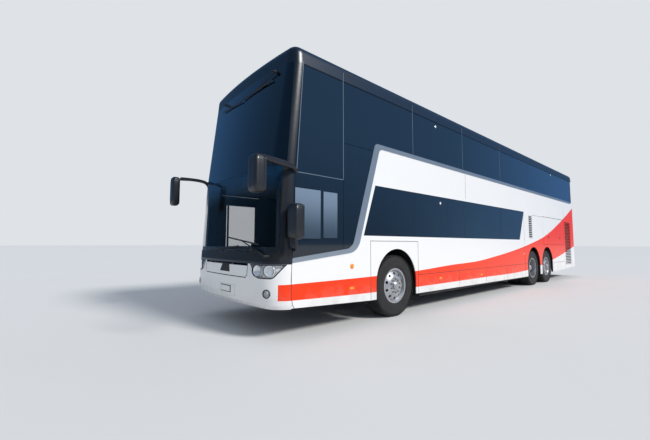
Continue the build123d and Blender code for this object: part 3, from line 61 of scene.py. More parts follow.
class Wire:
    """A shader socket on which arithmetic adds Math nodes."""

    def __init__(self, tree, socket):
        self.tree = tree
        self.socket = socket

    def add(self, kind, values, out=0, stops=None, **settings):
        node = self.tree.nodes.new("ShaderNode" + kind)
        for name, value in settings.items():
            setattr(node, name, value)
        if stops:
            ramp = node.color_ramp
            ramp.elements[0].position, ramp.elements[0].color = stops[0]
            ramp.elements[1].position, ramp.elements[1].color = stops[-1]
            for position, colour in stops[1:-1]:
                ramp.elements.new(position).color = colour
        for name, value in values.items():
            if isinstance(value, Wire):
                self.tree.links.new(value.socket, node.inputs[name])
            else:
                node.inputs[name].default_value = value
        return Wire(self.tree, node.outputs[out])

    def output(self, index):
        return Wire(self.tree, self.socket.node.outputs[index])

    def math(self, operation, first, second=0.0):
        return self.add("Math", {0: first, 1: second}, operation=operation)

    def __add__(self, other):
        return self.math("ADD", self, other)

    def __sub__(self, other):
        return self.math("SUBTRACT", self, other)

    def __rsub__(self, other):
        return self.math("SUBTRACT", other, self)

    def __mul__(self, other):
        return self.math("MULTIPLY", self, other)

    def __gt__(self, other):
        return self.math("GREATER_THAN", self, other)

    def __lt__(self, other):
        return self.math("LESS_THAN", self, other)

    def __abs__(self):
        return self.math("ABSOLUTE", self)

    __radd__ = __add__
    __rmul__ = __mul__

    def either(self, other):
        return self.math("MAXIMUM", self, other)

    def rise(self, low, high):
        """0 below one value, 1 above another, smooth between."""
        return self.add("MapRange", {"Value": self, "From Min": low, "From Max": high},
                        interpolation_type="SMOOTHSTEP")

    def mix(self, a, b):
        """The first colour where this is 0 and the second where it is 1."""
        return self.add("Mix", {0: self, 6: a, 7: b}, out=2, data_type="RGBA")

    def noise(self, scale, detail=3.0):
        return self.add("TexNoise", {"Vector": self, "Scale": scale, "Detail": detail})

    def axes(self):
        x = self.add("SeparateXYZ", {0: self})
        return x, x.output(1), x.output(2)

    def bump(self, strength, distance):
        return self.add("Bump", {"Strength": strength, "Distance": distance, "Height": self})


def finish(name, slot, **constants):
    """A material with its constants set, its shader and its object coordinates; its slot is not used."""
    material = bpy.data.materials.new(name)
    material.use_nodes = True
    tree = material.node_tree
    shader = tree.nodes["Principled BSDF"]
    for socket, value in constants.items():
        shader.inputs[socket.replace("_", " ")].default_value = value
    place = Wire(tree, tree.nodes.new("ShaderNodeTexCoord").outputs["Object"])
    return material, shader, place


def feed(shader, **wires):
    """Links what varies over a surface to the shader."""
    for socket, wire in wires.items():
        wire.tree.links.new(wire.socket, shader.inputs[socket.replace("_", " ")])


def coat(material, *names):
    """Gives CAD nodes a finish."""
    for name in names:
        slots = nodes[name].data.materials
        slots.clear()
        slots.append(material)


def eased(table, count=30):
    """More points along a table of stations and heights, on a curve that runs smoothly through it."""
    slopes = [(b[1] - a[1]) / (b[0] - a[0]) for a, b in zip(table, table[1:])]
    turns = [slopes[0]] + [(a + b) / 2 for a, b in zip(slopes, slopes[1:])] + [slopes[-1]]
    points = []
    for number in range(count):
        station = table[0][0] + (table[-1][0] - table[0][0]) * number / (count - 1)
        i = max(k for k in range(len(slopes)) if table[k][0] <= station + 1e-9)
        run = table[i + 1][0] - table[i][0]
        t = (station - table[i][0]) / run
        height = ((2 * t ** 3 - 3 * t * t + 1) * table[i][1] + (t ** 3 - 2 * t * t + t) * run * turns[i] +
                  (3 * t * t - 2 * t ** 3) * table[i + 1][1] + (t ** 3 - t * t) * run * turns[i + 1])
        points.append((station, height))
    return points


def level(station, table):
    """A height that follows a table of stations, read off a ramp whose white is the tallest height."""
    stops = [(s / body_length, (h / tallest, h / tallest, h / tallest, 1)) for s, h in table]
    return station.add("ValToRGB", {0: station * (1 / body_length)}, stops=stops) * tallest


stripe_head = eased(head_points)
stripe_foot = eased(foot_points)


def skin_paint(name, lined):
    """White paint with the stripe on both flanks; a lined panel is dark inside its outer skin."""
    material, shader, place = finish(name, "body_white", Coat_Weight=0.1, Coat_Roughness=0.1,
                                     Specular_IOR_Level=0.25)
    x, y, z = place.axes()
    station = y - nose
    flank = abs(x) > 1.17
    striped = (z < level(station, stripe_head)) * (z > level(station, stripe_foot))
    band = flank * (station > stripe_start) * striped
    fade = place.noise(0.6, 2)
    white = fade.mix(tint("e4e4e4"), tint("e9e9e8"))
    red = fade.mix(tint("ee3406"), tint("f33c0d"))
    dust = (1 - z.rise(0.3, 0.75)) * place.noise(5, 6).rise(0.35, 0.8) * 0.35
    colour = dust.mix(band.mix(white, red), tint("a89f92"))
    foot_gap = (abs(z - 0.781) < 0.006) * (abs(x) < 0.68)
    end_gaps = (abs(abs(x) - 0.704) < 0.006) * (z > 0.80)
    head_gap = (z > 0.938) * (abs(x) < 0.71)
    flap_gap = foot_gap.either(end_gaps).either(head_gap) * (station < 0.2)
    upper = (z > level(station, waist_line)) * (station < rear_corner)
    colour = upper.either(flap_gap).mix(colour, tint("0e151e"))
    if lined:
        colour = (abs(x) < 1.262).mix(colour, tint("1b1d21"))
    feed(shader, Base_Color=colour, Roughness=0.22 + dust * 0.5 + place.noise(40) * 0.06,
         Normal=place.noise(9, 2).bump(0.05, 0.004))
    return material


skin_lined = skin_paint("skin_lined", True)
skin = skin_paint("skin", False)
coat(skin_lined, "side_wall_left", "side_wall_right", "door_front_leaf", "door_middle_leaf",
     "luggage_door_left", "luggage_door_right")
coat(skin, "front_bumper", "front_flap", "rear_wall", "engine_lid")


# Panel joints: narrow dark gaps between the skirt flaps, wheel panels and side sheets, each filled
# with sealant 8 mm wide. Between the upper panes, wider strips of pale sealant show in the same way.
joint_material, joint_shader, joint_place = finish("joint_seal", "lining_black", Roughness=0.8)
feed(joint_shader, Base_Color=joint_place.noise(60).mix(tint("202226"), tint("3a3c40")))
joint_width = 0.008
strip_width = 0.010
joint_face = half_width + 0.0007
joint_runs = (
    ((3.20, 0.674), (4.73, 0.674), (7.30, 0.674), (8.79, 0.674)), ((4.73, 0.345), (4.73, 0.674)),
    ((7.30, 0.325), (7.30, 0.674)), ((6.02, 0.34), (6.02, 0.674)), ((1.885, 0.36), (1.885, 1.283)),
    ((3.199, 0.36), (3.199, 1.283)), ((1.885, 1.283), (3.199, 1.283)), ((9.35, 2.125), (10.29, 2.125)),
    ((8.62, 0.32), (8.62, 2.14)), ((12.68, 0.36), (12.68, 2.60)), ((11.30, 0.62), (12.68, 0.62)),
    ((13.56, 0.39), (13.56, 2.60)),
    ((5.1, 2.25), (5.1, 2.80)), ((0.402, 0.41), (0.375, 0.45), (0.358, 0.54), (0.350, 0.78), (0.362, 1.0)),
)
pane_joints = [((station, 2.90), (station, 3.84)) for station in (3.093, 5.003, 7.033)]
pane_joints += [((1.287, 2.19), (1.287, 3.84)), ((0.45, 2.19), (1.287, 2.19)), ((0.425, 2.19), (0.528, 3.74))]


def dressed(piece, body):
    """Puts a finished piece on its body."""
    bpy.context.scene.collection.objects.link(piece)
    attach(piece, body)
    return piece


def built(name, shape, material, body, smooth=False):
    """Makes a drawn shape into a finished piece on its body."""
    mesh = bpy.data.meshes.new(name)
    shape.to_mesh(mesh)
    shape.free()
    mesh.materials.append(material)
    if smooth:
        for face in mesh.polygons:
            face.use_smooth = True
    return dressed(bpy.data.objects.new(name, mesh), body)


def off_door(first, last):
    """Whether a run on the right flank misses both passenger doors."""
    first, last = sorted((first, last))
    return last < 0.49 or (first > 1.31 and last < 5.59) or first > 6.46


def ribbons(name, runs, width, low, high, material):
    """Strips along runs of station and height on both flanks, between two distances across."""
    shape = bmesh.new()
    for run in runs:
        for (first, foot), (last, head) in zip(run, run[1:]):
            along = Vector((0, last - first, head - foot)).normalized()
            aside = Vector((0, -along.z, along.y)) * width / 2
            over = along * width / 2
            ends = (Vector((0, nose + first, foot)) - over, Vector((0, nose + last, head)) + over)
            for side in (-1, 1):
                if side < 0 and not off_door(first, last):
                    continue
                corners = [shape.verts.new(Vector((side * across, 0, 0)) + end + aside * way)
                           for across in (low, high) for end in ends for way in (-1, 1)]
                bmesh.ops.convex_hull(shape, input=corners)
    return built(name, shape, material, "body")


ribbons("panel_joints", joint_runs, joint_width, half_width - 0.0015, joint_face, joint_material)
strip_material, strip_shader, strip_place = finish("pane_strip", "moulding_silver", Coat_Weight=0.2)
feed(strip_shader, Base_Color=strip_place.noise(3).mix(tint("4d5d6c"), tint("6a7b8b")),
     Roughness=0.4 + strip_place.noise(60) * 0.1)
ribbons("pane_strips", pane_joints, strip_width, half_width - 0.015, joint_face, strip_material)


# Silver-blue waist moulding: a bent aluminium section in metallic paint, bonded along the foot
# of the upper glazing and down behind the cab window on both flanks.
moulding_material, moulding_shader, moulding_place = finish("moulding_paint", "moulding_silver", Metallic=0.55,
                                                            Coat_Weight=0.5)
feed(moulding_shader, Base_Color=moulding_place.noise(2).mix(tint("8b97a3"), tint("9ca7b2")),
     Roughness=0.28 + moulding_place.noise(200) * 0.08)
coat(moulding_material, "waist_mouldings")


# Black front mask, roof shell and hatches: gloss black-blue paint over the pillars and the coves.
# The roof's top carries a little dust; its side coves stay dark and shiny.
mask_material, mask_shader, mask_place = finish("mask_paint", "mask_black", Coat_Weight=0.2, Coat_Roughness=0.2)
feed(mask_shader, Base_Color=mask_place.noise(1.5).mix(tint("0a0e16"), tint("10161f")),
     Roughness=0.3 + mask_place.noise(30) * 0.08)
coat(mask_material, "front_mask")
roof_material, roof_shader, roof_place = finish("roof_paint", "mask_black", Coat_Weight=0.15,
                                                Coat_Roughness=0.25)
roof_x, roof_y, roof_z = roof_place.axes()
roof_sides = abs(roof_x).rise(1.20, 1.262) * (roof_y - nose).rise(0.42, 0.50)
roof_dust = roof_z.rise(3.93, 3.995) * roof_place.noise(3, 6).rise(0.3, 0.9)
roof_paint = roof_sides.mix(tint("0a111b"), tint("132234"))
feed(roof_shader, Base_Color=(roof_dust * 0.5).mix(roof_paint, tint("39434f")),
     Roughness=0.32 + roof_dust * 0.4, Normal=roof_place.noise(6).bump(0.05, 0.004))
coat(roof_material, "roof")
hatch_material, hatch_shader, hatch_place = finish("hatch_plastic", "body_white", Coat_Weight=0.1)
feed(hatch_shader, Base_Color=hatch_place.noise(8).mix(tint("c9ccd0"), tint("dadcdf")),
     Roughness=0.45 + hatch_place.noise(70) * 0.1)
coat(hatch_material, "roof_hatches")


# Bonded glazing: tinted panes of dark blue-grey glass, nearly opaque but for the doors and the
# lower screen, which is printed black along its foot and edges. The side panes carry a painted
# reflection that grows bluer and lighter towards their tops and the tail, palest on the cab's side panes.
cab_panes = ((0.404, 0.844, 1.305, 1.980), (0.896, 1.163, 1.318, 1.974))


def glass_finish(name, slot, **constants):
    """Smooth glass: its material, shader and coordinates, with a faint ripple in its roughness."""
    material, shader, place = finish(name, slot, IOR=1.5, Coat_Weight=0.3, Coat_Roughness=0.02, **constants)
    feed(shader, Roughness=0.04 + place.noise(2, 2) * 0.05)
    return material, shader, place


side_glass, side_shader, side_place = glass_finish("side_glass", "glass_dark", Alpha=0.95)
side_y, side_z = side_place.axes()[1:]
side_station = side_y - nose
# Painted reflection: the side panes darken low down and towards the nose, and turn bluer and lighter up high and
# towards the tail.
side_reflection_height = (side_z + side_place.noise(0.5, 1) * 0.3).rise(1.3, 3.2)
side_upper_reflection = side_station.rise(4, 14).mix(tint("1c2c3d"), tint("28446a"))
side_tint_and_reflection = side_reflection_height.mix(side_station.rise(1.6, 6).mix(tint("151f29"), tint("28394a")), side_upper_reflection)
# Painted reflection on the cab's side panes: paler towards their tops.
for first, last, foot, head in cab_panes:
    pane = (side_station > first) * (side_station < last) * (side_z > foot) * (side_z < head)
    side_tint_and_reflection = pane.mix(side_tint_and_reflection, side_z.rise(foot, head).mix(tint("3c4a58"), tint("76879a")))
feed(side_shader, Base_Color=side_tint_and_reflection)
coat(side_glass, "glass_left", "glass_right", "glass_rear")
door_glass, door_shader, door_place = glass_finish("door_glass", "glass_dark", Alpha=0.2)
feed(door_shader, Base_Color=door_place.noise(1).mix(tint("2f4256"), tint("3d5266")))
coat(door_glass, "door_front_glass", "door_middle_glass")
upper_screen, upper_shader, upper_place = glass_finish("upper_screen_glass", "screen_glass", Alpha=0.97)
# Painted reflection: the upper screen is bluer towards the coach's right and near black towards its left.
upper_reflection_across = upper_place.axes()[0] + upper_place.noise(0.7, 2) * 0.3
feed(upper_shader, Base_Color=upper_reflection_across.rise(-0.9, 1.3).mix(tint("02284a"), tint("00040b")))
coat(upper_screen, "windscreen_upper")
lower_screen, lower_shader, lower_place = glass_finish("lower_screen_glass", "screen_glass")
lower_x, _, lower_z = lower_place.axes()
lower_print = (1 - lower_z.rise(1.10, 1.16)).either(abs(lower_x).rise(1.215, 1.225))
lower_band = lower_z.rise(1.80, 2.22)
lower_tone = lower_print.mix(lower_band.mix(tint("0d1a1a"), tint("0d3350")), tint("06090a"))
feed(lower_shader, Base_Color=lower_tone, Alpha=(0.16 + lower_band * 0.5).either(lower_print * 0.97),
     Roughness=0.05 + lower_print * 0.7)
coat(lower_screen, "windscreen_lower")


# Headlamps and fog lamps: a clear moulded cover with a dark gasket over chromed plastic bowls.
# Each headlamp has two round bowls in dark rings, a clear indicator and a ribbed reflector behind.
# The headlamp's outline: each edge's outward direction and a point on it, along the corner and up
lamp_edges = ((0.0, -1.0, 0.930, 0.786), (-0.8453, -0.5341, 0.565, 0.968), (0.7208, -0.6931, 0.930, 0.786),
              (0.0, 1.0, 0.565, 0.968))
cover_material, cover_shader, cover_place = finish("lamp_cover", "lamp_clear", IOR=1.5, Coat_Weight=0.3)
cover_x, cover_y, cover_z = cover_place.axes()
slant = math.sqrt(0.5)
cover_along = (abs(cover_x) + (cover_y - nose)) * slant
gasket_width = 0.013
corner_ease = 0.035
cover_edge = -1.0
for along, up, edge_along, edge_height in lamp_edges:
    reach = (cover_along - edge_along) * along + (cover_z - edge_height) * up
    cover_edge = reach.add("Math", {0: cover_edge, 1: reach, 2: corner_ease}, operation="SMOOTH_MAX")
cover_gasket = (cover_edge > -gasket_width) * (cover_z > 0.70)
cover_clear = cover_place.noise(20).mix(tint("dfe7ee"), tint("eef2f5"))
feed(cover_shader, Base_Color=cover_gasket.mix(cover_clear, tint("101317")), Alpha=cover_gasket.either(0.22),
     Roughness=0.04 + cover_place.noise(90) * 0.04 + cover_gasket * 0.4)
coat(cover_material, "front_lamps")
chrome_material, chrome_shader, chrome_place = finish("lamp_chrome", "rim_silver", Metallic=0.5)
feed(chrome_shader, Base_Color=chrome_place.noise(30).mix(tint("eceef0"), tint("ffffff")),
     Roughness=0.12 + chrome_place.noise(150) * 0.1)
amber_material, amber_shader, amber_place = finish("lamp_amber", "lamp_red", Coat_Weight=0.6)
feed(amber_shader, Base_Color=amber_place.noise(80).mix(tint("e8770a"), tint("ffa02a")),
     Roughness=0.2 + amber_place.noise(200) * 0.1)


def turned(name, profile, centre, toward, material, body, segments=40):
    """A closed profile of distance along an axis and radius, turned about that axis."""
    shape = bmesh.new()
    ring = [shape.verts.new((radius, 0, along)) for along, radius in profile]
    edges = [shape.edges.new((ring[i], ring[(i + 1) % len(ring)])) for i in range(len(ring))]
    bmesh.ops.spin(shape, geom=ring + edges, cent=(0, 0, 0), axis=(0, 0, 1), angle=math.tau, steps=segments,
                   use_merge=False)
    bmesh.ops.remove_doubles(shape, verts=shape.verts, dist=1e-5)
    bmesh.ops.dissolve_degenerate(shape, dist=1e-6, edges=shape.edges)
    bmesh.ops.recalc_face_normals(shape, faces=shape.faces)
    turn = Vector(toward).to_track_quat("Z", "Y").to_matrix().to_4x4()
    shape.transform(Matrix.Translation(centre) @ turn)
    return built(name, shape, material, body, smooth=True)


# Sections of distance along the axis and radius
bowl = ((0.0, 0.0), (0.004, 0.025), (0.02, 0.05), (0.055, 0.068), (0.055, 0.074), (0.0, 0.074), (-0.01, 0.0))
bowl_ring = ((-0.006, 0.070), (0.004, 0.071), (0.006, 0.076), (0.004, 0.082), (-0.006, 0.082))
indicator = ((0.0, 0.0), (0.0, 0.035), (0.03, 0.035), (0.036, 0.02), (0.038, 0.0))
fog_bowl = ((0.0, 0.0), (0.01, 0.025), (0.032, 0.036), (0.032, 0.042), (0.0, 0.042))
fog_ring = ((-0.012, 0.046), (0.004, 0.046), (0.009, 0.050), (0.004, 0.057), (-0.012, 0.057))
# Each lamp piece: section, material, then its across, station and height, and the way it faces
lamp_pieces = (
    ("head_bowl_inner_{}", bowl, chrome_material, (0.93, 0.10, 0.885), (0.35, -1)),
    ("head_bowl_outer_{}", bowl, chrome_material, (1.09, 0.165, 0.885), (0.65, -1)),
    ("head_ring_{}_93", bowl_ring, joint_material, (0.93, 0.046, 0.885), (0.35, -1)),
    ("head_ring_{}_109", bowl_ring, joint_material, (1.09, 0.126, 0.885), (0.65, -1)),
    ("indicator_{}", indicator, chrome_material, (1.165, 0.225, 0.90), (0.85, -0.5)),
    ("fog_bowl_{}", fog_bowl, chrome_material, (1.11, 0.145, 0.60), (0.3, -1)),
    ("fog_ring_{}", fog_ring, joint_material, (1.11, 0.0865, 0.60), (0.45, -0.893)),
)
for side, word in ((1, "left"), (-1, "right")):
    for name, section, material, (across, station, height), (outward, forward) in lamp_pieces:
        turned(name.format(word), section, (side * across, nose + station, height),
               (side * outward, forward, 0), material, "body")
reflector_head = 0.957
reflector_radius = 0.243
reflector_thick = 0.004
reflectors = bmesh.new()
for side in (1, -1):
    columns = []
    for step in range(41):
        turn = math.radians(-88 + step * 1.6)
        deep = reflector_radius - 0.006 * (step % 2)
        x, station = 0.975 + deep * math.cos(turn), 0.3485 + deep * math.sin(turn)
        along = (x + station) * slant
        foot = 0.798 + max(0, (0.680 - along) * 1.58, (along - 0.930) * 1.04)
        if foot < 0.95:
            columns.append([reflectors.verts.new((side * (x + back * 0.7), nose + station - back * 0.7, z))
                            for back in (0, -reflector_thick) for z in (foot, reflector_head)])
    for one, two in zip(columns, columns[1:]):
        bmesh.ops.convex_hull(reflectors, input=one + two)
built("lamp_reflectors", reflectors, chrome_material, "body")
red_material, red_shader, red_place = finish("tail_lamp_red", "lamp_red", Coat_Weight=0.8)
red_bands = red_place.axes()[2] * 5.36
red_prisms = red_place.add("TexVoronoi", {"Vector": red_place, "Scale": 90.0})
feed(red_shader, Base_Color=(red_bands.math("FRACT", red_bands) > 0.66).mix(tint("b3121a"), tint("e07c18")),
     Roughness=0.15 + red_place.noise(150) * 0.1, Normal=red_prisms.bump(0.2, 0.002))
coat(red_material, "tail_lamps")


# Marker lamps and small fittings: moulded amber lenses pressed into the skirt, dark ones under the
# roof's edge, white discs on the panes of the emergency exits, and the luggage doors' round locks.
trim_material, trim_shader, trim_place = finish("moulded_trim", "trim_black")
trim_grain = trim_place.add("TexVoronoi", {"Vector": trim_place, "Scale": 260.0})
feed(trim_shader, Base_Color=trim_place.noise(5).mix(tint("1a1b1e"), tint("26272b")),
     Roughness=0.6 + trim_place.noise(80) * 0.15, Normal=trim_grain.bump(0.3, 0.001))
plate_material, plate_shader, plate_place = finish("plate_white", "body_white", Coat_Weight=0.2)
feed(plate_shader, Base_Color=plate_place.noise(20).mix(tint("dcdedb"), tint("e9eae7")),
     Roughness=0.4 + plate_place.noise(80) * 0.1)


def boxes(name, spans, material, body, bevel=0.0):
    """One object of closed boxes, each from its lowest to its highest corner."""
    shape = bmesh.new()
    for low, high in spans:
        low, high = Vector(low), Vector(high)
        place = Matrix.Translation((low + high) / 2) @ Matrix.Diagonal((high - low).to_4d())
        bmesh.ops.create_cube(shape, size=1, matrix=place)
    if bevel:
        bmesh.ops.bevel(shape, geom=shape.edges[:], offset=bevel, segments=3, affect="EDGES", profile=0.6)
    return built(name, shape, material, body)


markers = ((1.453, 0.578), (3.958, 0.565), (5.767, 0.53), (8.535, 0.971), (12.9, 0.55))
marker_spans = []
roof_lamp_spans = []
for station, height in markers:
    for side in (-1, 1):
        if side < 0 and not off_door(station, station):
            continue
        across = sorted((side * (half_width - 0.003), side * (half_width + 0.006)))
        marker_spans.append(((across[0], nose + station - 0.045, height - 0.02),
                             (across[1], nose + station + 0.045, height + 0.02)))
for station in (1.445, 5.407, 9.48, 13.47):
    for side in (-1, 1):
        across = sorted((side * 1.254, side * 1.268))
        roof_lamp_spans.append(((across[0], nose + station - 0.04, 3.845),
                                (across[1], nose + station + 0.04, 3.868)))
boxes("side_markers", marker_spans, amber_material, "body", bevel=0.003)
boxes("roof_lamps", roof_lamp_spans, trim_material, "body", bevel=0.003)
exit_disc = ((-0.002, 0.0), (-0.002, 0.028), (0.0006, 0.028), (0.0008, 0.0))
repeater_lens = ((-0.004, 0.0), (-0.004, 0.040), (0.002, 0.040), (0.008, 0.030), (0.012, 0.0))
lid_lock = ((-0.004, 0.0), (-0.004, 0.036), (0.003, 0.036), (0.006, 0.031), (0.003, 0.024), (0.003, 0.0))
for side, word in ((1, "left"), (-1, "right")):
    for number, (station, height) in enumerate(((3.90, 3.62), (4.02, 2.06), (11.36, 3.65))):
        turned(f"exit_mark_{word}_{number}", exit_disc, (side * half_width, nose + station, height),
               (side, 0, 0), plate_material, "body", segments=24)
    turned(f"turn_repeater_{word}", repeater_lens, (side * half_width, nose + 1.463, 0.90), (side, 0, 0),
           amber_material, "body", segments=32)
    for number, (station, height) in enumerate(((10.84, 1.48), (12.12, 1.465))):
        turned(f"lid_lock_{word}_{number}", lid_lock, (side * half_width, nose + station, height), (side, 0, 0),
               trim_material, f"luggage_door_{word}", segments=24)


# Louvred grilles: folded steel slats in a frame, painted with the flank they sit in, with
# painted shade darkening them deeper in, behind and under each slat.
grille_material, grille_shader, grille_place = finish("grille_paint", "grille_silver", Coat_Weight=0.1)
grille_x, grille_y, grille_z = grille_place.axes()
grille_station = grille_y - nose
grille_band = (grille_z < level(grille_station, stripe_head)) * (grille_z > level(grille_station, stripe_foot))
# Painted shade: the grille turns dark grey deeper in from the flank's face.
grille_recess_shade = abs(grille_x).rise(1.245, 1.272)
grille_paint = grille_band.mix(tint("dcdee1"), tint("e0391f"))
feed(grille_shader, Base_Color=grille_recess_shade.mix(tint("3c3f45"), grille_paint),
     Roughness=0.4 + grille_place.noise(50) * 0.15)
coat(grille_material, "side_grilles")


# Tyres: moulded black rubber with ribbed sidewalls and a worn, dusty tread. The tread is seven
# rings of blocks on a carcass, and each drive hub carries two tyres side by side.
tyre_radius = 0.522
tyre_width = 0.295
wheels = (("front", 2.57), ("drive", 9.37), ("tag", 10.65))
rubber_material, rubber_shader, rubber_place = finish("tyre_rubber", "tyre", Sheen_Weight=0.05)
rubber_wear = rubber_place.noise(12, 6)
feed(rubber_shader, Base_Color=rubber_wear.mix(tint("101012"), tint("2c2a29")),
     Roughness=0.72 + rubber_place.noise(80) * 0.2, Normal=rubber_place.noise(260, 4).bump(0.2, 0.001))
tyre_half = ((0.018, 0.284), (0.016, 0.298), (0.010, 0.312), (0.0065, 0.318), (0.005, 0.330), (0.003, 0.352),
             (0.0005, 0.358), (0.0005, 0.364), (0.003, 0.370), (0.0015, 0.395), (0.0, 0.415), (0.0015, 0.440),
             (0.005, 0.462), (0.004, 0.466), (0.004, 0.472), (0.008, 0.478), (0.014, 0.494), (0.024, 0.506),
             (0.036, 0.511))
# Inboard places of the tread's rows, from the shoulder to the middle
tread_rows = (0.018, 0.052, 0.1025, 0.153)
tyre_face = 1.23
twin_step = 0.345
blocks_round = 64
block_sink = 0.0065
shoulder_drop = 0.009


def tree_node(tree, kind, values, **settings):
    """Adds one geometry node with its settings and its sockets' values or links."""
    node = tree.nodes.new(kind)
    for name, value in settings.items():
        setattr(node, name, value)
    for name, value in values.items():
        if isinstance(value, bpy.types.NodeSocket):
            tree.links.new(value, node.inputs[name])
        else:
            node.inputs[name].default_value = value
    return node


def new_tree(name, inputs):
    """A geometry tree with its named inputs and one output."""
    tree = bpy.data.node_groups.new(name, "GeometryNodeTree")
    for label, kind in inputs:
        tree.interface.new_socket(label, in_out="INPUT", socket_type="NodeSocket" + kind)
    tree.interface.new_socket("Geometry", in_out="OUTPUT", socket_type="NodeSocketGeometry")
    return tree, tree.nodes.new("NodeGroupInput").outputs


def copy_on(tree, given, points, **turn):
    """Ends a tree: copies of the given piece on points, made real, with the given finish."""
    piece = tree_node(tree, "GeometryNodeObjectInfo", {"Object": given["Piece"]})
    copies = tree_node(tree, "GeometryNodeInstanceOnPoints",
                       {"Points": points, "Instance": piece.outputs["Geometry"], **turn})
    real = tree_node(tree, "GeometryNodeRealizeInstances", {"Geometry": copies.outputs[0]})
    finished = tree_node(tree, "GeometryNodeSetMaterial",
                         {"Geometry": real.outputs[0], "Material": given["Finish"]})
    tree.links.new(finished.outputs[0], tree.nodes.new("NodeGroupOutput").inputs[0])


def ring_tree():
    """Copies of a piece round the X axis, turned to face outwards."""
    tree, given = new_tree("ring_of_pieces", (("Count", "Int"), ("Radius", "Float"), ("Turn", "Float"),
                                              ("Centre", "Vector"), ("Piece", "Object"), ("Finish", "Material")))
    points = tree_node(tree, "GeometryNodeMeshLine", {"Count": given["Count"], "Offset": (0, 0, 0)})
    index = tree_node(tree, "GeometryNodeInputIndex", {})
    share = tree_node(tree, "ShaderNodeMath", {0: index.outputs[0], 1: given["Count"]}, operation="DIVIDE")
    angle = tree_node(tree, "ShaderNodeMath", {0: share.outputs[0], 1: math.tau, 2: given["Turn"]},
                      operation="MULTIPLY_ADD")
    spin = tree_node(tree, "ShaderNodeCombineXYZ", {0: angle.outputs[0]})
    outward = tree_node(tree, "ShaderNodeCombineXYZ", {2: given["Radius"]})
    aimed = tree_node(tree, "ShaderNodeVectorRotate",
                      {"Vector": outward.outputs[0], "Rotation": spin.outputs[0]}, rotation_type="EULER_XYZ")
    placed = tree_node(tree, "ShaderNodeVectorMath", {0: aimed.outputs[0], 1: given["Centre"]}, operation="ADD")
    moved = tree_node(tree, "GeometryNodeSetPosition",
                      {"Geometry": points.outputs[0], "Position": placed.outputs[0]})
    copy_on(tree, given, moved.outputs[0], Rotation=spin.outputs[0])
    return tree


ring_of_pieces = ring_tree()


def grown(name, tree, inputs, body):
    """Runs a geometry tree with its named inputs and keeps the result as a plain mesh."""
    blank = bpy.data.meshes.new(name)
    piece = bpy.data.objects.new(name, blank)
    bpy.context.scene.collection.objects.link(piece)
    modifier = piece.modifiers.new("grow", "NODES")
    modifier.node_group = tree
    for item in tree.interface.items_tree:
        if item.in_out == "INPUT":
            modifier[item.identifier] = inputs[item.name]
    bpy.context.view_layer.update()
    mesh = bpy.data.meshes.new_from_object(piece.evaluated_get(bpy.context.evaluated_depsgraph_get()))
    piece.modifiers.remove(modifier)
    piece.data = mesh
    mesh.name = name
    bpy.data.meshes.remove(blank)
    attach(piece, body)
    return piece


def hidden_piece(name, build):
    """A small shape that a tree copies; it isn't part of the scene itself."""
    shape = bmesh.new()
    build(shape)
    mesh = bpy.data.meshes.new(name)
    shape.to_mesh(mesh)
    shape.free()
    return bpy.data.objects.new(name, mesh)


def tread_block(shape):
    """One tread block: a low wedge, narrower at its top."""
    for x, y, z in ((-0.022, -0.017, -0.006), (0.022, -0.017, -0.006), (0.022, 0.017, -0.006),
                    (-0.022, 0.017, -0.006), (-0.020, -0.014, 0.006), (0.020, -0.018, 0.006),
                    (0.020, 0.011, 0.006), (-0.020, 0.015, 0.006)):
        shape.verts.new((x, y, z))
    bmesh.ops.convex_hull(shape, input=shape.verts)


block_piece = hidden_piece("tread_block", tread_block)
far_half = [(tyre_width - inboard, radius) for inboard, radius in reversed(tyre_half)]
for axle, station in wheels:
    for side, word in ((1, "left"), (-1, "right")):
        body = f"wheel_{axle}_{word}"
        faces = [tyre_face, tyre_face - twin_step] if axle == "drive" else [tyre_face]
        for number, face in enumerate(faces):
            turned(f"tyre_carcass_{axle}_{word}_{number}", tyre_half + tuple(far_half),
                                    (side * face, nose + station, tyre_radius), (-side, 0, 0),
                                    rubber_material, body, segments=96)
            for row, inboard in enumerate(tread_rows):
                rings = (tyre_width / 2,) if row == len(tread_rows) - 1 else (inboard, tyre_width - inboard)
                radius = tyre_radius - block_sink - (shoulder_drop if row == 0 else 0)
                for ring in rings:
                    grown(f"tread_{axle}_{word}_{number}_{row}_{round(ring * 1000)}", ring_of_pieces,
                          {"Count": blocks_round, "Radius": radius, "Turn": 0.05 * row, "Piece": block_piece,
                           "Finish": rubber_material,
                           "Centre": (side * (face - ring), nose + station, tyre_radius)}, body)
        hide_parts(f"tyre_{axle}_{word}")


# Wheels: pressed discs painted silver, each held by ten nuts on a raised flange. The drive
# wheels are dished with a long hub; the others have a domed disc and a capped hub.
rim_material, rim_shader, rim_place = finish("rim_silver", "rim_silver", Metallic=0.75, Coat_Weight=0.2)
rim_grime = rim_place.noise(14, 6).rise(0.45, 0.8)
feed(rim_shader, Base_Color=(rim_grime * 0.4).mix(tint("b9bbbe"), tint("77736e")),
     Roughness=0.35 + rim_grime * 0.25)
coat(rim_material, *[f"rim_{axle}_{word}" for axle, station in wheels for word in ("left", "right")])
nut_material, nut_shader, nut_place = finish("nut_steel", "rim_silver", Metallic=0.9)
feed(nut_shader, Base_Color=nut_place.noise(90).mix(tint("8d8b88"), tint("c3c2c0")),
     Roughness=0.3 + nut_place.noise(200) * 0.2)


def nut(shape):
    """A hexagon nut with a washer and a stud's end, standing along X."""
    washer, hexagon, stud = (0.021, 0.0, 0.005, 16), (0.018, 0.005, 0.02, 6), (0.010, 0.02, 0.027, 10)
    for radius, low, high, sides in (washer, hexagon, stud):
        made = bmesh.ops.create_cone(shape, cap_ends=True, segments=sides, radius1=radius,
                                     radius2=radius * 0.93, depth=high - low)
        bmesh.ops.transform(shape, verts=made["verts"], matrix=Matrix.Rotation(math.pi / 2, 4, "Y") @
                            Matrix.Translation((0, 0, (low + high) / 2)))


